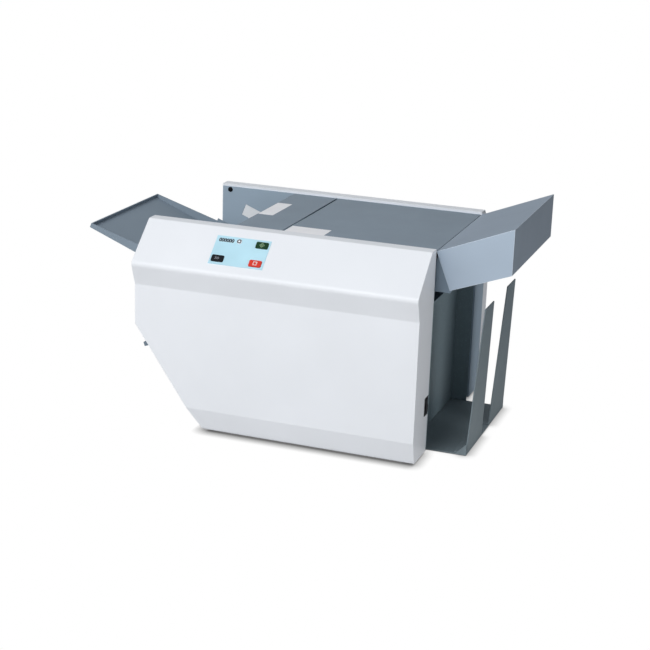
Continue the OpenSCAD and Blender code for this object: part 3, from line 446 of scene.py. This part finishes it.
steel = ground_metal("steel", STEEL, stretch=(0.03, 1, 0.03), smooth=0.26, rough=0.36)
gear_steel = ground_metal("gear_steel", GEAR_STEEL, stretch=(1, 0.15, 1), smooth=0.26, rough=0.42)
screw_black = ground_metal("screw_black", BLACK_OXIDE, stretch=(1, 1, 1), smooth=0.35, rough=0.5)
bronze = sintered_bronze()
print("metals:", steel.name, gear_steel.name, screw_black.name, bronze.name)

# %% [markdown]
# ## Rubber and plastics
# Rollers and feet are matt rubber with a dusty bloom. The idler gears are milky nylon that lets a
# little light in, so they get some subsurface scatter. Switches are black plastic from a spark-eroded
# mould, whose fine even grain hides scratches. The motor wears a plain machine enamel.

# %% Rubber and plastics
RUBBER = screen(44, 45, 48)
NYLON = screen(222, 214, 192)
BLACK_PLASTIC = screen(30, 31, 34)
MOTOR_ENAMEL = screen(72, 78, 86)
GRAIN_SHEEN = 0.15
NYLON_SCATTER = 0.15
NYLON_REACH = (2 * MM, 1.5 * MM, 1 * MM)


def matt_rubber():
    """Black rubber with a pale bloom and a fine ground skin."""
    material, tree, shader = new_finish("rubber")
    tint(tree, shader, noise(tree, per_metre=30, detail=5), shade(RUBBER, 0.8), shade(RUBBER, 1.5))
    gloss(tree, shader, noise(tree, per_metre=120, detail=3), smooth=0.72, rough=0.9)
    relief(tree, shader, noise(tree, per_metre=2600), depth=0.03 * MM)
    return material


def milky_nylon():
    """Moulded nylon that scatters light under its skin."""
    material, tree, shader = new_finish("nylon")
    tint(tree, shader, noise(tree, per_metre=60, detail=3), shade(NYLON, 0.94), NYLON)
    gloss(tree, shader, noise(tree, per_metre=200, detail=3), smooth=0.4, rough=0.55)
    shader.inputs["Subsurface Weight"].default_value = NYLON_SCATTER
    shader.inputs["Subsurface Radius"].default_value = NYLON_REACH
    return material


def grained_plastic(name, colour, grain, depth):
    """Moulded plastic with an even spark-eroded grain."""
    material, tree, shader = new_finish(name)
    shader.inputs["Specular IOR Level"].default_value = GRAIN_SHEEN
    tint(tree, shader, noise(tree, per_metre=50, detail=3), shade(colour, 0.92), shade(colour, 1.08))
    gloss(tree, shader, noise(tree, per_metre=90, detail=3), smooth=0.42, rough=0.56)
    relief(tree, shader, noise(tree, grain), depth)
    return material


rubber = matt_rubber()
nylon = milky_nylon()
black_plastic = grained_plastic("black_plastic", BLACK_PLASTIC, grain=3000, depth=0.04 * MM)
motor_paint = grained_plastic("motor_paint", MOTOR_ENAMEL, grain=900, depth=0.02 * MM)
print("soft finishes:", rubber.name, nylon.name, black_plastic.name, motor_paint.name)

# %% [markdown]
# ## Control panel
# The panel is a polycarbonate film printed on its back: pale blue, with a velvet front that scatters
# the light. The keys under it are printed in their own colours and take a soft gloss. The counter's
# window is a pale liquid-crystal pane, and the circuit board behind it has a green solder mask.

# %% Control panel
FILM_BLUE = screen(188, 227, 242)
KEY_COLOURS = {"green_key": screen(14, 56, 28), "red_key": screen(216, 58, 42),
               "black_key": screen(12, 14, 20), "white_key": screen(240, 243, 246)}
INKS = {"dark_ink": screen(24, 30, 44), "white_ink": screen(236, 240, 240),
        "pale_ink": screen(156, 186, 146), "grey_ink": screen(150, 154, 162)}
GLASS_PALE = screen(204, 234, 244)
BOARD_GREEN = screen(30, 92, 56)
LABEL_WHITE = screen(248, 248, 252)
FILM_SHEEN = 0.25
TRACKS_PER_METRE = 120
MASK_ROUGHNESS = 0.35


def printed_film(name, colour, smooth, rough):
    """Printed polycarbonate with a velvet grain."""
    material, tree, shader = new_finish(name)
    shader.inputs["Specular IOR Level"].default_value = FILM_SHEEN
    tint(tree, shader, noise(tree, per_metre=22), shade(colour, 0.95), shade(colour, 1.04))
    gloss(tree, shader, noise(tree, per_metre=300), smooth, rough)
    relief(tree, shader, noise(tree, per_metre=5000, detail=1), depth=0.01 * MM)
    return material


def solder_mask():
    """Green board with faint copper tracks under the mask."""
    material, tree, shader = new_finish("board")
    tracks = tree.nodes.new("ShaderNodeTexBrick")
    tracks.inputs["Scale"].default_value = TRACKS_PER_METRE
    tracks.inputs["Color1"].default_value = BOARD_GREEN
    tracks.inputs["Color2"].default_value = shade(BOARD_GREEN, 0.8)
    tracks.inputs["Mortar"].default_value = shade(BOARD_GREEN, 1.7)
    place = tree.nodes.new("ShaderNodeTexCoord")
    tree.links.new(place.outputs["Object"], tracks.inputs["Vector"])
    tree.links.new(tracks.outputs["Color"], shader.inputs["Base Color"])
    shader.inputs["Roughness"].default_value = MASK_ROUGHNESS
    return material


panel_film = printed_film("panel_film", FILM_BLUE, smooth=0.45, rough=0.6)
keys = {name: printed_film(name, colour, smooth=0.32, rough=0.45) for name, colour in KEY_COLOURS.items()}
display_glass = printed_film("display_glass", GLASS_PALE, smooth=0.12, rough=0.2)
inks = {name: printed_film(name, colour, smooth=0.5, rough=0.6) for name, colour in INKS.items()}
label_paper = printed_film("label_paper", LABEL_WHITE, smooth=0.4, rough=0.5)
board = solder_mask()
print("panel:", len(keys), "key colours and", len(inks), "inks")

# %% [markdown]
# ## Which piece wears which finish
# The solids come in with plain placeholder colours. One table says what each finish covers, and a loop
# puts it on. A solid's mesh is loose triangles with knife edges, and real sheet has a small radius on
# every edge, which catches the light. Weld, Decimate and Bevel modifiers give that radius and leave
# the mesh itself alone.

# %% Finishes on the solids
WEARS = [
    (white_paint, ["front_cover", "rear_cover"]),
    (hood_paint, ["hood"]),
    (grey_paint, ["rear_frame", "front_frame", "base_plate"]),
    (lid_paint, ["infeed_cover", "main_cover", "feed_tray", "front_guide", "rear_guide"]),
    (iron_paint, ["stacker_base", "stacker_fingers"]),
    (dark_paint, ["bay_liner"]),
    # the exit plate's slate is painted shade for the front cover's shadow; the lower fold plate is a dark
    # slate
    (slate_and_painted_shade, ["exit_plate", "lower_fold_plate"]),
    (steel, ["tie_bars", "separator_bar", "transfer_guide", "upper_fold_plate", "hinge_pins", "idler_studs",
             "seal_roller_upper", "seal_roller_lower"]),
    (gear_steel, ["feed_gear", "fold_gear_1", "fold_gear_2", "fold_gear_3", "fold_gear_4",
                  "seal_gear_upper", "seal_gear_lower", "exit_gear", "motor_pinion"]),
    (nylon, ["main_idler", "feed_idler", "exit_idler"]),
    (bronze, ["shaft_bearings"]),
    (rubber, ["rubber_feet", "separator_pad"]),
    (black_plastic, ["switch_housing", "power_rocker", "power_inlet", "upper_stop", "lower_stop"]),
    (motor_paint, ["drive_motor"]),
    (panel_film, ["control_panel"]),
    (display_glass, ["counter_display"]),
    (board, ["control_board"]),
    (keys["green_key"], ["start_button"]),
    (keys["red_key"], ["stop_button"]),
    (keys["black_key"], ["jog_button"]),
    (keys["white_key"], ["reset_button"]),
]
EDGE_RADIUS = {white_paint: 0.6 * MM, hood_paint: 0.7 * MM, grey_paint: 0.7 * MM, lid_paint: 0.7 * MM,
               iron_paint: 0.7 * MM, dark_paint: 0.4 * MM, black_plastic: 0.5 * MM}
FINE_EDGE = 0.3 * MM
SHARP_CORNER = math.radians(32)
FLAT_WITHIN = math.radians(0.5)
NO_EDGE = (gear_steel, nylon, rubber, bronze, board)


def round_edges(solid, radius):
    """Modifiers that join the loose triangles and round the sharp edges."""
    weld = solid.modifiers.new("join", "WELD")
    weld.merge_threshold = JOIN_WITHIN
    flat = solid.modifiers.new("flatten", "DECIMATE")
    flat.decimate_type = "DISSOLVE"
    flat.angle_limit = FLAT_WITHIN
    edge = solid.modifiers.new("edge", "BEVEL")
    edge.width = radius
    edge.segments = 2
    edge.limit_method = "ANGLE"
    edge.angle_limit = SHARP_CORNER
    edge.harden_normals = True


for finish, names in WEARS:
    for name in names:
        solid = nodes[name]
        solid.data.materials.clear()
        solid.data.materials.append(finish)
        if finish not in NO_EDGE:
            round_edges(solid, EDGE_RADIUS.get(finish, FINE_EDGE))
bare = sorted(set(nodes) - {name for _, names in WEARS for name in names})
print("solids still to be dressed:", bare)

# %% [markdown]
# ## Tools for growing details
# A Geometry Nodes tree is a small machine: it takes a few named sizes and gives a mesh. Wiring nodes by
# hand takes many lines, so `add` makes a node and either links or sets each of its inputs. `grow` runs
# a tree on a handful of loose points and keeps the result as a plain mesh, which any program can read.
# The other helpers read places off the solids, so that a detail follows when a solid changes.

# %% Tools for growing details
BEHAVIOUR = frame["record"]["behaviour"]
BODY_OF = {node: body for body, members in BEHAVIOUR["bodies"].items() for node in members}
JOINTS = {joint["name"]: joint for joint in BEHAVIOUR["joints"]}
SMOOTH_ANGLE = math.radians(40)
FACE_SLICE = 0.02 * MM


def new_tree(name, **inputs):
    """A Geometry Nodes tree with a geometry in, a geometry out and named inputs of the given kinds."""
    tree = bpy.data.node_groups.new(name, "GeometryNodeTree")
    for side in ("INPUT", "OUTPUT"):
        tree.interface.new_socket("Geometry", in_out=side, socket_type="NodeSocketGeometry")
    for label, kind in inputs.items():
        tree.interface.new_socket(label, in_out="INPUT", socket_type="NodeSocket" + kind)
    return tree, tree.nodes.new("NodeGroupInput").outputs


def add(tree, kind, **inputs):
    """A geometry node with its inputs plugged by name, _ for a space; returns its first output."""
    node = tree.nodes.new("GeometryNode" + kind)
    for label, value in inputs.items():
        plug(tree, node.inputs[label.replace("_", " ")], value)
    return node.outputs[0]


def upward(tree, height):
    """A vector that points up by a height."""
    node = tree.nodes.new("ShaderNodeCombineXYZ")
    plug(tree, node.inputs["Z"], height)
    return node.outputs[0]


def facing(tree):
    """The rotation that turns up into each point's stored direction."""
    stored = tree.nodes.new("GeometryNodeInputNamedAttribute")
    stored.data_type = "FLOAT_VECTOR"
    stored.inputs["Name"].default_value = "direction"
    turn = tree.nodes.new("FunctionNodeAlignRotationToVector")
    turn.axis = "Z"
    tree.links.new(stored.outputs["Attribute"], turn.inputs["Vector"])
    return turn.outputs["Rotation"]


def close(tree, geometry):
    """Ends the tree."""
    out = tree.nodes.new("NodeGroupOutput")
    tree.links.new(geometry, out.inputs["Geometry"])


def grow(name, tree, places, **values):
    """Runs the tree on points with places and directions; returns an object with a plain mesh."""
    seed = bpy.data.meshes.new(name + "_points")
    seed.from_pydata([place for place, _ in places], [], [])
    stored = seed.attributes.new("direction", "FLOAT_VECTOR", "POINT")
    for value, (_, direction) in zip(stored.data, places):
        value.vector = direction
    piece = bpy.data.objects.new(name, seed)
    bpy.context.scene.collection.objects.link(piece)
    modifier = piece.modifiers.new("grow", "NODES")
    modifier.node_group = tree
    sockets = {item.name: item.identifier for item in tree.interface.items_tree if item.in_out == "INPUT"}
    for label, value in values.items():
        modifier[sockets[label]] = value
    result = bpy.data.meshes.new_from_object(piece.evaluated_get(bpy.context.evaluated_depsgraph_get()))
    piece.modifiers.remove(modifier)
    piece.data = result
    result.name = name
    result.shade_smooth()
    result.set_sharp_from_angle(angle=SMOOTH_ANGLE)
    return piece


def islands(name):
    """The corner points of each loose solid in a CAD node."""
    work = bmesh.new()
    work.from_mesh(nodes[name].data)
    bmesh.ops.remove_doubles(work, verts=work.verts, dist=JOIN_WITHIN)
    left, found = set(work.verts), []
    while left:
        edge, group = [left.pop()], []
        while edge:
            vertex = edge.pop()
            group.append(vertex.co.copy())
            near = {link.other_vert(vertex) for link in vertex.link_edges} & left
            left -= near
            edge.extend(near)
        found.append(group)
    work.free()
    return found


def box_of(points):
    """Lowest and highest corner of some points."""
    return tuple(Vector(pick(point[axis] for point in points) for axis in range(3)) for pick in (min, max))


print(len(BODY_OF), "solids have a body")

# %% [markdown]
# ## Button-head screws
# The solids mark each screw by a plain disc. The screw in the picture has a domed head with a six-sided
# socket. A cone with its top cut off, less a six-sided prism, is enough at this size. One tree makes the
# head and puts it on every point, turned along the direction that the point carries.

# %% Button-head screws
SOCKET_SHARE = 0.46
DOME_SHARE = 0.66


def screw_tree():
    """Button-head screws with hexagon sockets on all points."""
    tree, given = new_tree("button_screws", Radius="Float", Height="Float", Finish="Material")
    head = add(tree, "MeshCone", Vertices=40, Radius_Bottom=given["Radius"], Depth=given["Height"],
               Radius_Top=calc(tree, "MULTIPLY", given["Radius"], DOME_SHARE))
    prism = add(tree, "MeshCylinder", Vertices=6, Depth=given["Height"],
                Radius=calc(tree, "MULTIPLY", given["Radius"], SOCKET_SHARE))
    prism = add(tree, "Transform", Geometry=prism, Translation=upward(tree, given["Height"]))
    screw = add(tree, "MeshBoolean", Mesh_1=head, Mesh_2=[prism])
    screws = add(tree, "InstanceOnPoints", Points=given["Geometry"], Instance=screw, Rotation=facing(tree))
    screws = add(tree, "RealizeInstances", Geometry=screws)
    close(tree, add(tree, "SetMaterial", Geometry=screws, Material=given["Finish"]))
    return tree


def screw_places(name):
    """Foot and direction of each disc in a node: away from the middle, or towards it inside the frames."""
    found = []
    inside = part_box("front_frame")[1].y
    for points in islands(name):
        low, high = box_of(points)
        middle = (low + high) / 2
        side = math.copysign(1, middle.y) if abs(middle.y) > -inside else -math.copysign(1, middle.y)
        foot = Vector((middle.x, middle.y - side * (high.y - low.y) / 2, middle.z))
        found.append((foot, Vector((0, side, 0))))
    return found, (high.x - low.x) / 2, high.y - low.y


places, head_radius, head_height = screw_places("frame_screws")
screws = grow("button_screws", screw_tree(), places, Radius=head_radius, Height=head_height,
              Finish=screw_black)
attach(screws, BODY_OF["frame_screws"])
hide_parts("frame_screws")
print(len(places), "screws, head", round(2 * head_radius / MM, 1), "mm wide")

# %% [markdown]
# ## Grooved rollers
# Feed and fold rollers carry a rubber sleeve with grooves turned into it: the lands between them grip
# the paper and the grooves take up dust. One tree lines up rings along a core, adds the steel shaft and
# turns the whole to lie across the machine. It makes all seven rollers, each with its own sizes, and
# each is a piece of its own because each turns on its own.

# %% Grooved rollers
ROLLERS = ["feed_roller", "fold_roller_1", "fold_roller_2", "fold_roller_3", "fold_roller_4",
           "exit_roller_upper", "exit_roller_lower"]
LAND_PITCH = 7 * MM
LAND_SHARE = 0.78
GROOVE_DEPTH = 0.6 * MM
# what lies farther out than this share of the radius is sleeve; the shaft is read off a thin end slice
SLEEVE_SHARE = 0.9
END_SLICE = 0.1 * MM
ACROSS = (math.radians(-90), 0, 0)


def roller_tree():
    """Rubber rings on a core, with a shaft, along Y through the object's point."""
    tree, given = new_tree("grooved_roller", Radius="Float", Length="Float", Pitch="Float", Groove="Float",
                           Shaft_Radius="Float", Shaft_Length="Float", Shaft_Shift="Float",
                           Rubber="Material", Steel="Material")
    count = calc(tree, "FLOOR", calc(tree, "DIVIDE", given["Length"], given["Pitch"]), 0.0)
    step = calc(tree, "DIVIDE", given["Length"], count)
    core = add(tree, "MeshCylinder", Vertices=48, Depth=given["Length"],
               Radius=calc(tree, "SUBTRACT", given["Radius"], given["Groove"]))
    ring = add(tree, "MeshCylinder", Vertices=48, Radius=given["Radius"],
               Depth=calc(tree, "MULTIPLY", step, LAND_SHARE))
    start = calc(tree, "MULTIPLY", calc(tree, "SUBTRACT", step, given["Length"]), 0.5)
    line = add(tree, "MeshLine", Count=count, Start_Location=upward(tree, start), Offset=upward(tree, step))
    rings = add(tree, "InstanceOnPoints", Points=line, Instance=ring)
    shaft = add(tree, "MeshCylinder", Vertices=32, Radius=given["Shaft_Radius"],
                Depth=given["Shaft_Length"])
    shaft = add(tree, "Transform", Geometry=shaft, Translation=upward(tree, given["Shaft_Shift"]))
    mark = tree.nodes.new("GeometryNodeStoreNamedAttribute")
    mark.data_type, mark.domain = "BOOLEAN", "FACE"
    mark.inputs["Name"].default_value = "is_shaft"
    mark.inputs["Value"].default_value = True
    tree.links.new(shaft, mark.inputs["Geometry"])
    roller = add(tree, "JoinGeometry", Geometry=[core, rings, mark.outputs[0]])
    roller = add(tree, "Transform", Geometry=roller, Rotation=ACROSS)
    put = add(tree, "InstanceOnPoints", Points=given["Geometry"], Instance=roller)
    put = add(tree, "RealizeInstances", Geometry=put)
    put = add(tree, "SetMaterial", Geometry=put, Material=given["Rubber"])
    marked = tree.nodes.new("GeometryNodeInputNamedAttribute")
    marked.data_type = "BOOLEAN"
    marked.inputs["Name"].default_value = "is_shaft"
    close(tree, add(tree, "SetMaterial", Geometry=put, Selection=marked.outputs["Attribute"],
                    Material=given["Steel"]))
    return tree


def roller_sizes(name):
    """Middle of the sleeve, and the sizes of a roller read off its solid."""
    points = [vertex.co for vertex in nodes[name].data.vertices]
    low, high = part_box(name)
    radius, x, z = (high.x - low.x) / 2, (low.x + high.x) / 2, (low.z + high.z) / 2
    off_axis = [(math.hypot(point.x - x, point.z - z), point.y) for point in points]
    sleeve = [y for far, y in off_axis if far > SLEEVE_SHARE * radius]
    shaft = max(far for far, y in off_axis if y > high.y - END_SLICE)
    middle = Vector((x, (min(sleeve) + max(sleeve)) / 2, z))
    return middle, dict(Radius=radius, Length=max(sleeve) - min(sleeve), Shaft_Radius=shaft,
                        Shaft_Length=high.y - low.y, Shaft_Shift=(low.y + high.y) / 2 - middle.y)


tree = roller_tree()
for name in ROLLERS:
    middle, sizes = roller_sizes(name)
    roller = grow("grooved_" + name, tree, [(middle, Vector((0, 1, 0)))], Pitch=LAND_PITCH,
                  Groove=GROOVE_DEPTH, Rubber=rubber, Steel=steel, **sizes)
    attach(roller, BODY_OF[name])
    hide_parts(name)
print(len(ROLLERS), "rollers")

# %% [markdown]
# ## Knurled knobs
# Each fold stop is set by a thumb knob, and a thumb needs something to grip. A ring of thin round ribs
# on the knob's rim does that. The knob lies on a sloped plate, so its axis comes from the slide joint:
# it stands square to the way the stop slides and to the width of the machine.

# %% Knurled knobs
RIB_COUNT = 28
RIB_RADIUS = 0.45 * MM
RIM_SLICE = 0.05 * MM


def knurl_tree():
    """A ring of upright ribs on each point."""
    tree, given = new_tree("knurl", Radius="Float", Height="Float", Count="Int", Rib="Float",
                           Finish="Material")
    circle = add(tree, "MeshCircle", Vertices=given["Count"], Radius=given["Radius"])
    rib = add(tree, "MeshCylinder", Vertices=10, Radius=given["Rib"], Depth=given["Height"])
    ring = add(tree, "InstanceOnPoints", Points=circle, Instance=rib)
    ring = add(tree, "Transform", Geometry=ring,
               Translation=upward(tree, calc(tree, "MULTIPLY", given["Height"], 0.5)))
    rings = add(tree, "InstanceOnPoints", Points=given["Geometry"], Instance=ring, Rotation=facing(tree))
    rings = add(tree, "RealizeInstances", Geometry=rings)
    close(tree, add(tree, "SetMaterial", Geometry=rings, Material=given["Finish"]))
    return tree


def knob_place(name, joint):
    """Foot, axis, radius and height of the knob on a fold stop."""
    points = [vertex.co for vertex in nodes[name].data.vertices]
    axis = Vector(JOINTS[joint]["axis"]).cross(Vector((0, 1, 0))).normalized()
    bar = max(points, key=lambda point: point.y).dot(axis)
    reach = [max(side * (point.dot(axis) - bar) for point in points) for side in (1, -1)]
    axis *= 1 if reach[0] > reach[1] else -1
    top = max(point.dot(axis) for point in points)
    low, high = box_of([point for point in points if top - point.dot(axis) < FACE_SLICE])
    middle, radius = (low + high) / 2, (high.y - low.y) / 2
    rim = [point for point in points
           if abs((point - middle - axis * (point - middle).dot(axis)).length - radius) < RIM_SLICE]
    height = top - min(point.dot(axis) for point in rim)
    return middle - axis * height, axis, radius, height


tree = knurl_tree()
for name, joint in (("upper_stop", "upper_stop_slide"), ("lower_stop", "lower_stop_slide")):
    foot, axis, radius, height = knob_place(name, joint)
    knurl = grow(name + "_knurl", tree, [(foot, axis)], Radius=radius, Height=height, Count=RIB_COUNT,
                 Rib=RIB_RADIUS, Finish=black_plastic)
    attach(knurl, BODY_OF[name])
    print(name, "knob", round(2 * radius / MM, 1), "mm wide,", round(height / MM, 1), "mm high")

# %% [markdown]
# ## Prints on the control panel
# Ink on a key is a film a few hundredths of a millimetre thick. Each print is a flat outline raised by
# that much, which keeps it in front of the key from every side and lets it move with the key. The signs
# are plain shapes: a diamond to start, a square to stop, arrowheads to step on, a ring to set to zero.

# %% Prints on the panel
INK_MM = 0.05
JOIN_MM = 0.001
ARROW_HALF, ARROW_ARM = 2.2, 0.9
OUT = -Vector(JOINTS["start_press"]["axis"]).normalized()
RIGHT = Vector((1, 0, 0))
UP = OUT.cross(RIGHT)


def on_face(name):
    """Lays millimetres on a solid's outer face, X to the right, Y up, Z out; also gives its half sizes."""
    points = [vertex.co for vertex in nodes[name].data.vertices]
    top = max(point.dot(OUT) for point in points)
    face = [point for point in points if top - point.dot(OUT) < FACE_SLICE]
    spans = [(min(point.dot(axis) for point in face), max(point.dot(axis) for point in face))
             for axis in (RIGHT, UP)]
    middle = RIGHT * sum(spans[0]) / 2 + UP * sum(spans[1]) / 2 + OUT * top
    lay = Matrix.Translation(middle) @ Matrix((RIGHT, UP, OUT)).transposed().to_4x4() @ Matrix.Scale(MM, 4)
    return lay, [(high - low) / 2 / MM for low, high in spans]


def corners(count, radius, turn=0.0):
    """Corners of a regular shape; many of them make a circle."""
    angles = [math.radians(turn) + 2 * math.pi * step / count for step in range(count)]
    return [Vector((radius * math.cos(angle), radius * math.sin(angle), 0)) for angle in angles]


def ring(count, outer, inner, turn=0.0):
    """Faces of a ring between two regular shapes."""
    far, near = corners(count, outer, turn), corners(count, inner, turn)
    return [[far[step - 1], far[step], near[step], near[step - 1]] for step in range(count)]


def flat_print(name, faces, lay, thick, body, finish):
    """A thin raised film with the given faces, laid on a surface."""
    work = bmesh.new()
    for face in faces:
        work.faces.new([work.verts.new(corner) for corner in face])
    bmesh.ops.remove_doubles(work, verts=work.verts, dist=JOIN_MM)
    raised = bmesh.ops.extrude_face_region(work, geom=work.faces[:])
    bmesh.ops.translate(work, vec=(0, 0, thick),
                        verts=[part for part in raised["geom"] if isinstance(part, bmesh.types.BMVert)])
    bmesh.ops.recalc_face_normals(work, faces=work.faces)
    mesh = bpy.data.meshes.new(name)
    work.to_mesh(mesh)
    work.free()
    mesh.transform(lay)
    mesh.materials.append(finish)
    film = bpy.data.objects.new(name, mesh)
    bpy.context.scene.collection.objects.link(film)
    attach(film, body)
    return film


def arrowhead(shift):
    """One arrowhead that points to the right."""
    half, arm = ARROW_HALF, ARROW_ARM
    outline = ((-half, half), (arm - half, half), (arm, 0), (arm - half, -half), (-half, -half), (0, 0))
    return [Vector((shift + x, y, 0)) for x, y in outline]


# key: faces in mm, ink, slot
SIGNS = {
    "start_button": (ring(4, 4.2, 3.4) + ring(24, 1.6, 1.0), "pale_ink", "white_key"),
    "stop_button": (ring(4, 4.4, 3.2, 45), "white_ink", "white_key"),
    "jog_button": ([arrowhead(shift) for shift in (-2.4, 0, 2.4)], "grey_ink", "white_key"),
    "reset_button": (ring(40, 3.5, 1.9), "dark_ink", "black_key"),
}
for name, (faces, ink, slot) in SIGNS.items():
    lay, half_sizes = on_face(name)
    flat_print(name + "_sign", faces, lay, INK_MM, BODY_OF[name], inks[ink])
    print(name, "face", [round(2 * half, 1) for half in half_sizes], "mm")

# %% [markdown]
# ## The counter's digits
# A counter that stands at nothing shows six zeros. A text object gives them in Blender's own font. It is
# turned into a mesh straight away, because a text can't leave Blender, and laid on the window.

# %% Counter digits
DIGITS = "000000"
DIGIT_FILL = 0.96
DIGIT_WEIGHT = 0.05

lay, (half_wide, half_high) = on_face("counter_display")
text = bpy.data.curves.new("counter_digits", "FONT")
text.body = DIGITS
text.align_x, text.align_y = "CENTER", "CENTER"
text.extrude = INK_MM / 2
text.offset = DIGIT_WEIGHT
writing = bpy.data.objects.new("counter_writing", text)
bpy.context.scene.collection.objects.link(writing)
digits_mesh = bpy.data.meshes.new_from_object(writing.evaluated_get(bpy.context.evaluated_depsgraph_get()))
bpy.data.objects.remove(writing)
low, high = box_of([vertex.co for vertex in digits_mesh.vertices])
wide, tall = 2 * half_wide * DIGIT_FILL, 2 * half_high * DIGIT_FILL
fit = Matrix.Diagonal((wide / (high.x - low.x), tall / (high.y - low.y), 1, 1))
digits_mesh.transform(lay @ fit @ Matrix.Translation(-(low + high) / 2 + Vector((0, 0, INK_MM / 2))))
digits_mesh.materials.clear()
digits_mesh.materials.append(inks["dark_ink"])
digits = bpy.data.objects.new("counter_digits", digits_mesh)
bpy.context.scene.collection.objects.link(digits)
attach(digits, BODY_OF["counter_display"])
print("digits fill", round(wide, 1), "by", round(tall, 1), "mm")

# %% [markdown]
# ## Paper labels
# Two white labels are stuck on the lids, left blank here. Each is a rounded rectangle of paper on the
# lid's top, and rides on its lid, so it tips up when the lid is opened.

# %% Paper labels
LABEL_T = 0.1
LABEL_ROUND = 1.5
# lid: left, right, front and back edge of its label, in mm
LABELS = {"infeed_cover": (-92.6, -67.5, -35, 52), "main_cover": (-13.5, 51, -124, -85)}


def rounded_sheet(left, right, front, back, radius, steps=6):
    """Corners of a rectangle with round corners."""
    centres = ((right - radius, back - radius, 0), (left + radius, back - radius, 90),
               (left + radius, front + radius, 180), (right - radius, front + radius, 270))
    return [Vector((x + radius * math.cos(math.radians(start + 90 * step / steps)),
                    y + radius * math.sin(math.radians(start + 90 * step / steps)), 0))
            for x, y, start in centres for step in range(steps + 1)]


for name, edges in LABELS.items():
    top = Matrix.Translation((0, 0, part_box(name)[1].z)) @ Matrix.Scale(MM, 4)
    flat_print(name + "_label", [rounded_sheet(*edges, LABEL_ROUND)], top, LABEL_T, BODY_OF[name],
               label_paper)
print(len(LABELS), "labels")

# %% [markdown]
# ## Window blanks
# Each side plate has a slanted window beside the feed roller. A white plastic blank closes it. It is a
# plain box a little smaller than the window, sunk into the plate by a few tenths of a millimetre, which
# leaves a fine line of shade all round.

# %% Window blanks
WINDOW_FOOT = Vector((-190.4, 0, 274.5)) * MM
WINDOW_LENGTH, WINDOW_HEIGHT = 46 * MM, 20.5 * MM
WINDOW_SLOPE = math.radians(21.5)
BLANK_GAP, BLANK_SUNK, BLANK_T = 0.3 * MM, 0.4 * MM, 1.5 * MM


def window_blanks():
    """Two boxes, one in each side plate."""
    work = bmesh.new()
    inside = -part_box("front_frame")[1].y + BLANK_SUNK
    along = Matrix.Rotation(WINDOW_SLOPE, 4, "Y")
    for side in (1, -1):
        middle = Vector((WINDOW_LENGTH / 2, side * (inside + BLANK_T / 2), WINDOW_HEIGHT / 2))
        size = (WINDOW_LENGTH - 2 * BLANK_GAP, BLANK_T, WINDOW_HEIGHT - 2 * BLANK_GAP)
        place = Matrix.Translation(WINDOW_FOOT) @ along @ Matrix.Translation(middle)
        bmesh.ops.create_cube(work, size=1, matrix=place @ Matrix.Diagonal((*size, 1)))
    mesh = bpy.data.meshes.new("window_blanks")
    work.to_mesh(mesh)
    work.free()
    mesh.materials.append(keys["white_key"])
    return bpy.data.objects.new("window_blanks", mesh)


blanks = window_blanks()
bpy.context.scene.collection.objects.link(blanks)
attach(blanks, BODY_OF["rear_frame"])
low, high = box_of([vertex.co for vertex in blanks.data.vertices])
print("blanks from", [round(v / MM) for v in low], "to", [round(v / MM) for v in high], "mm")
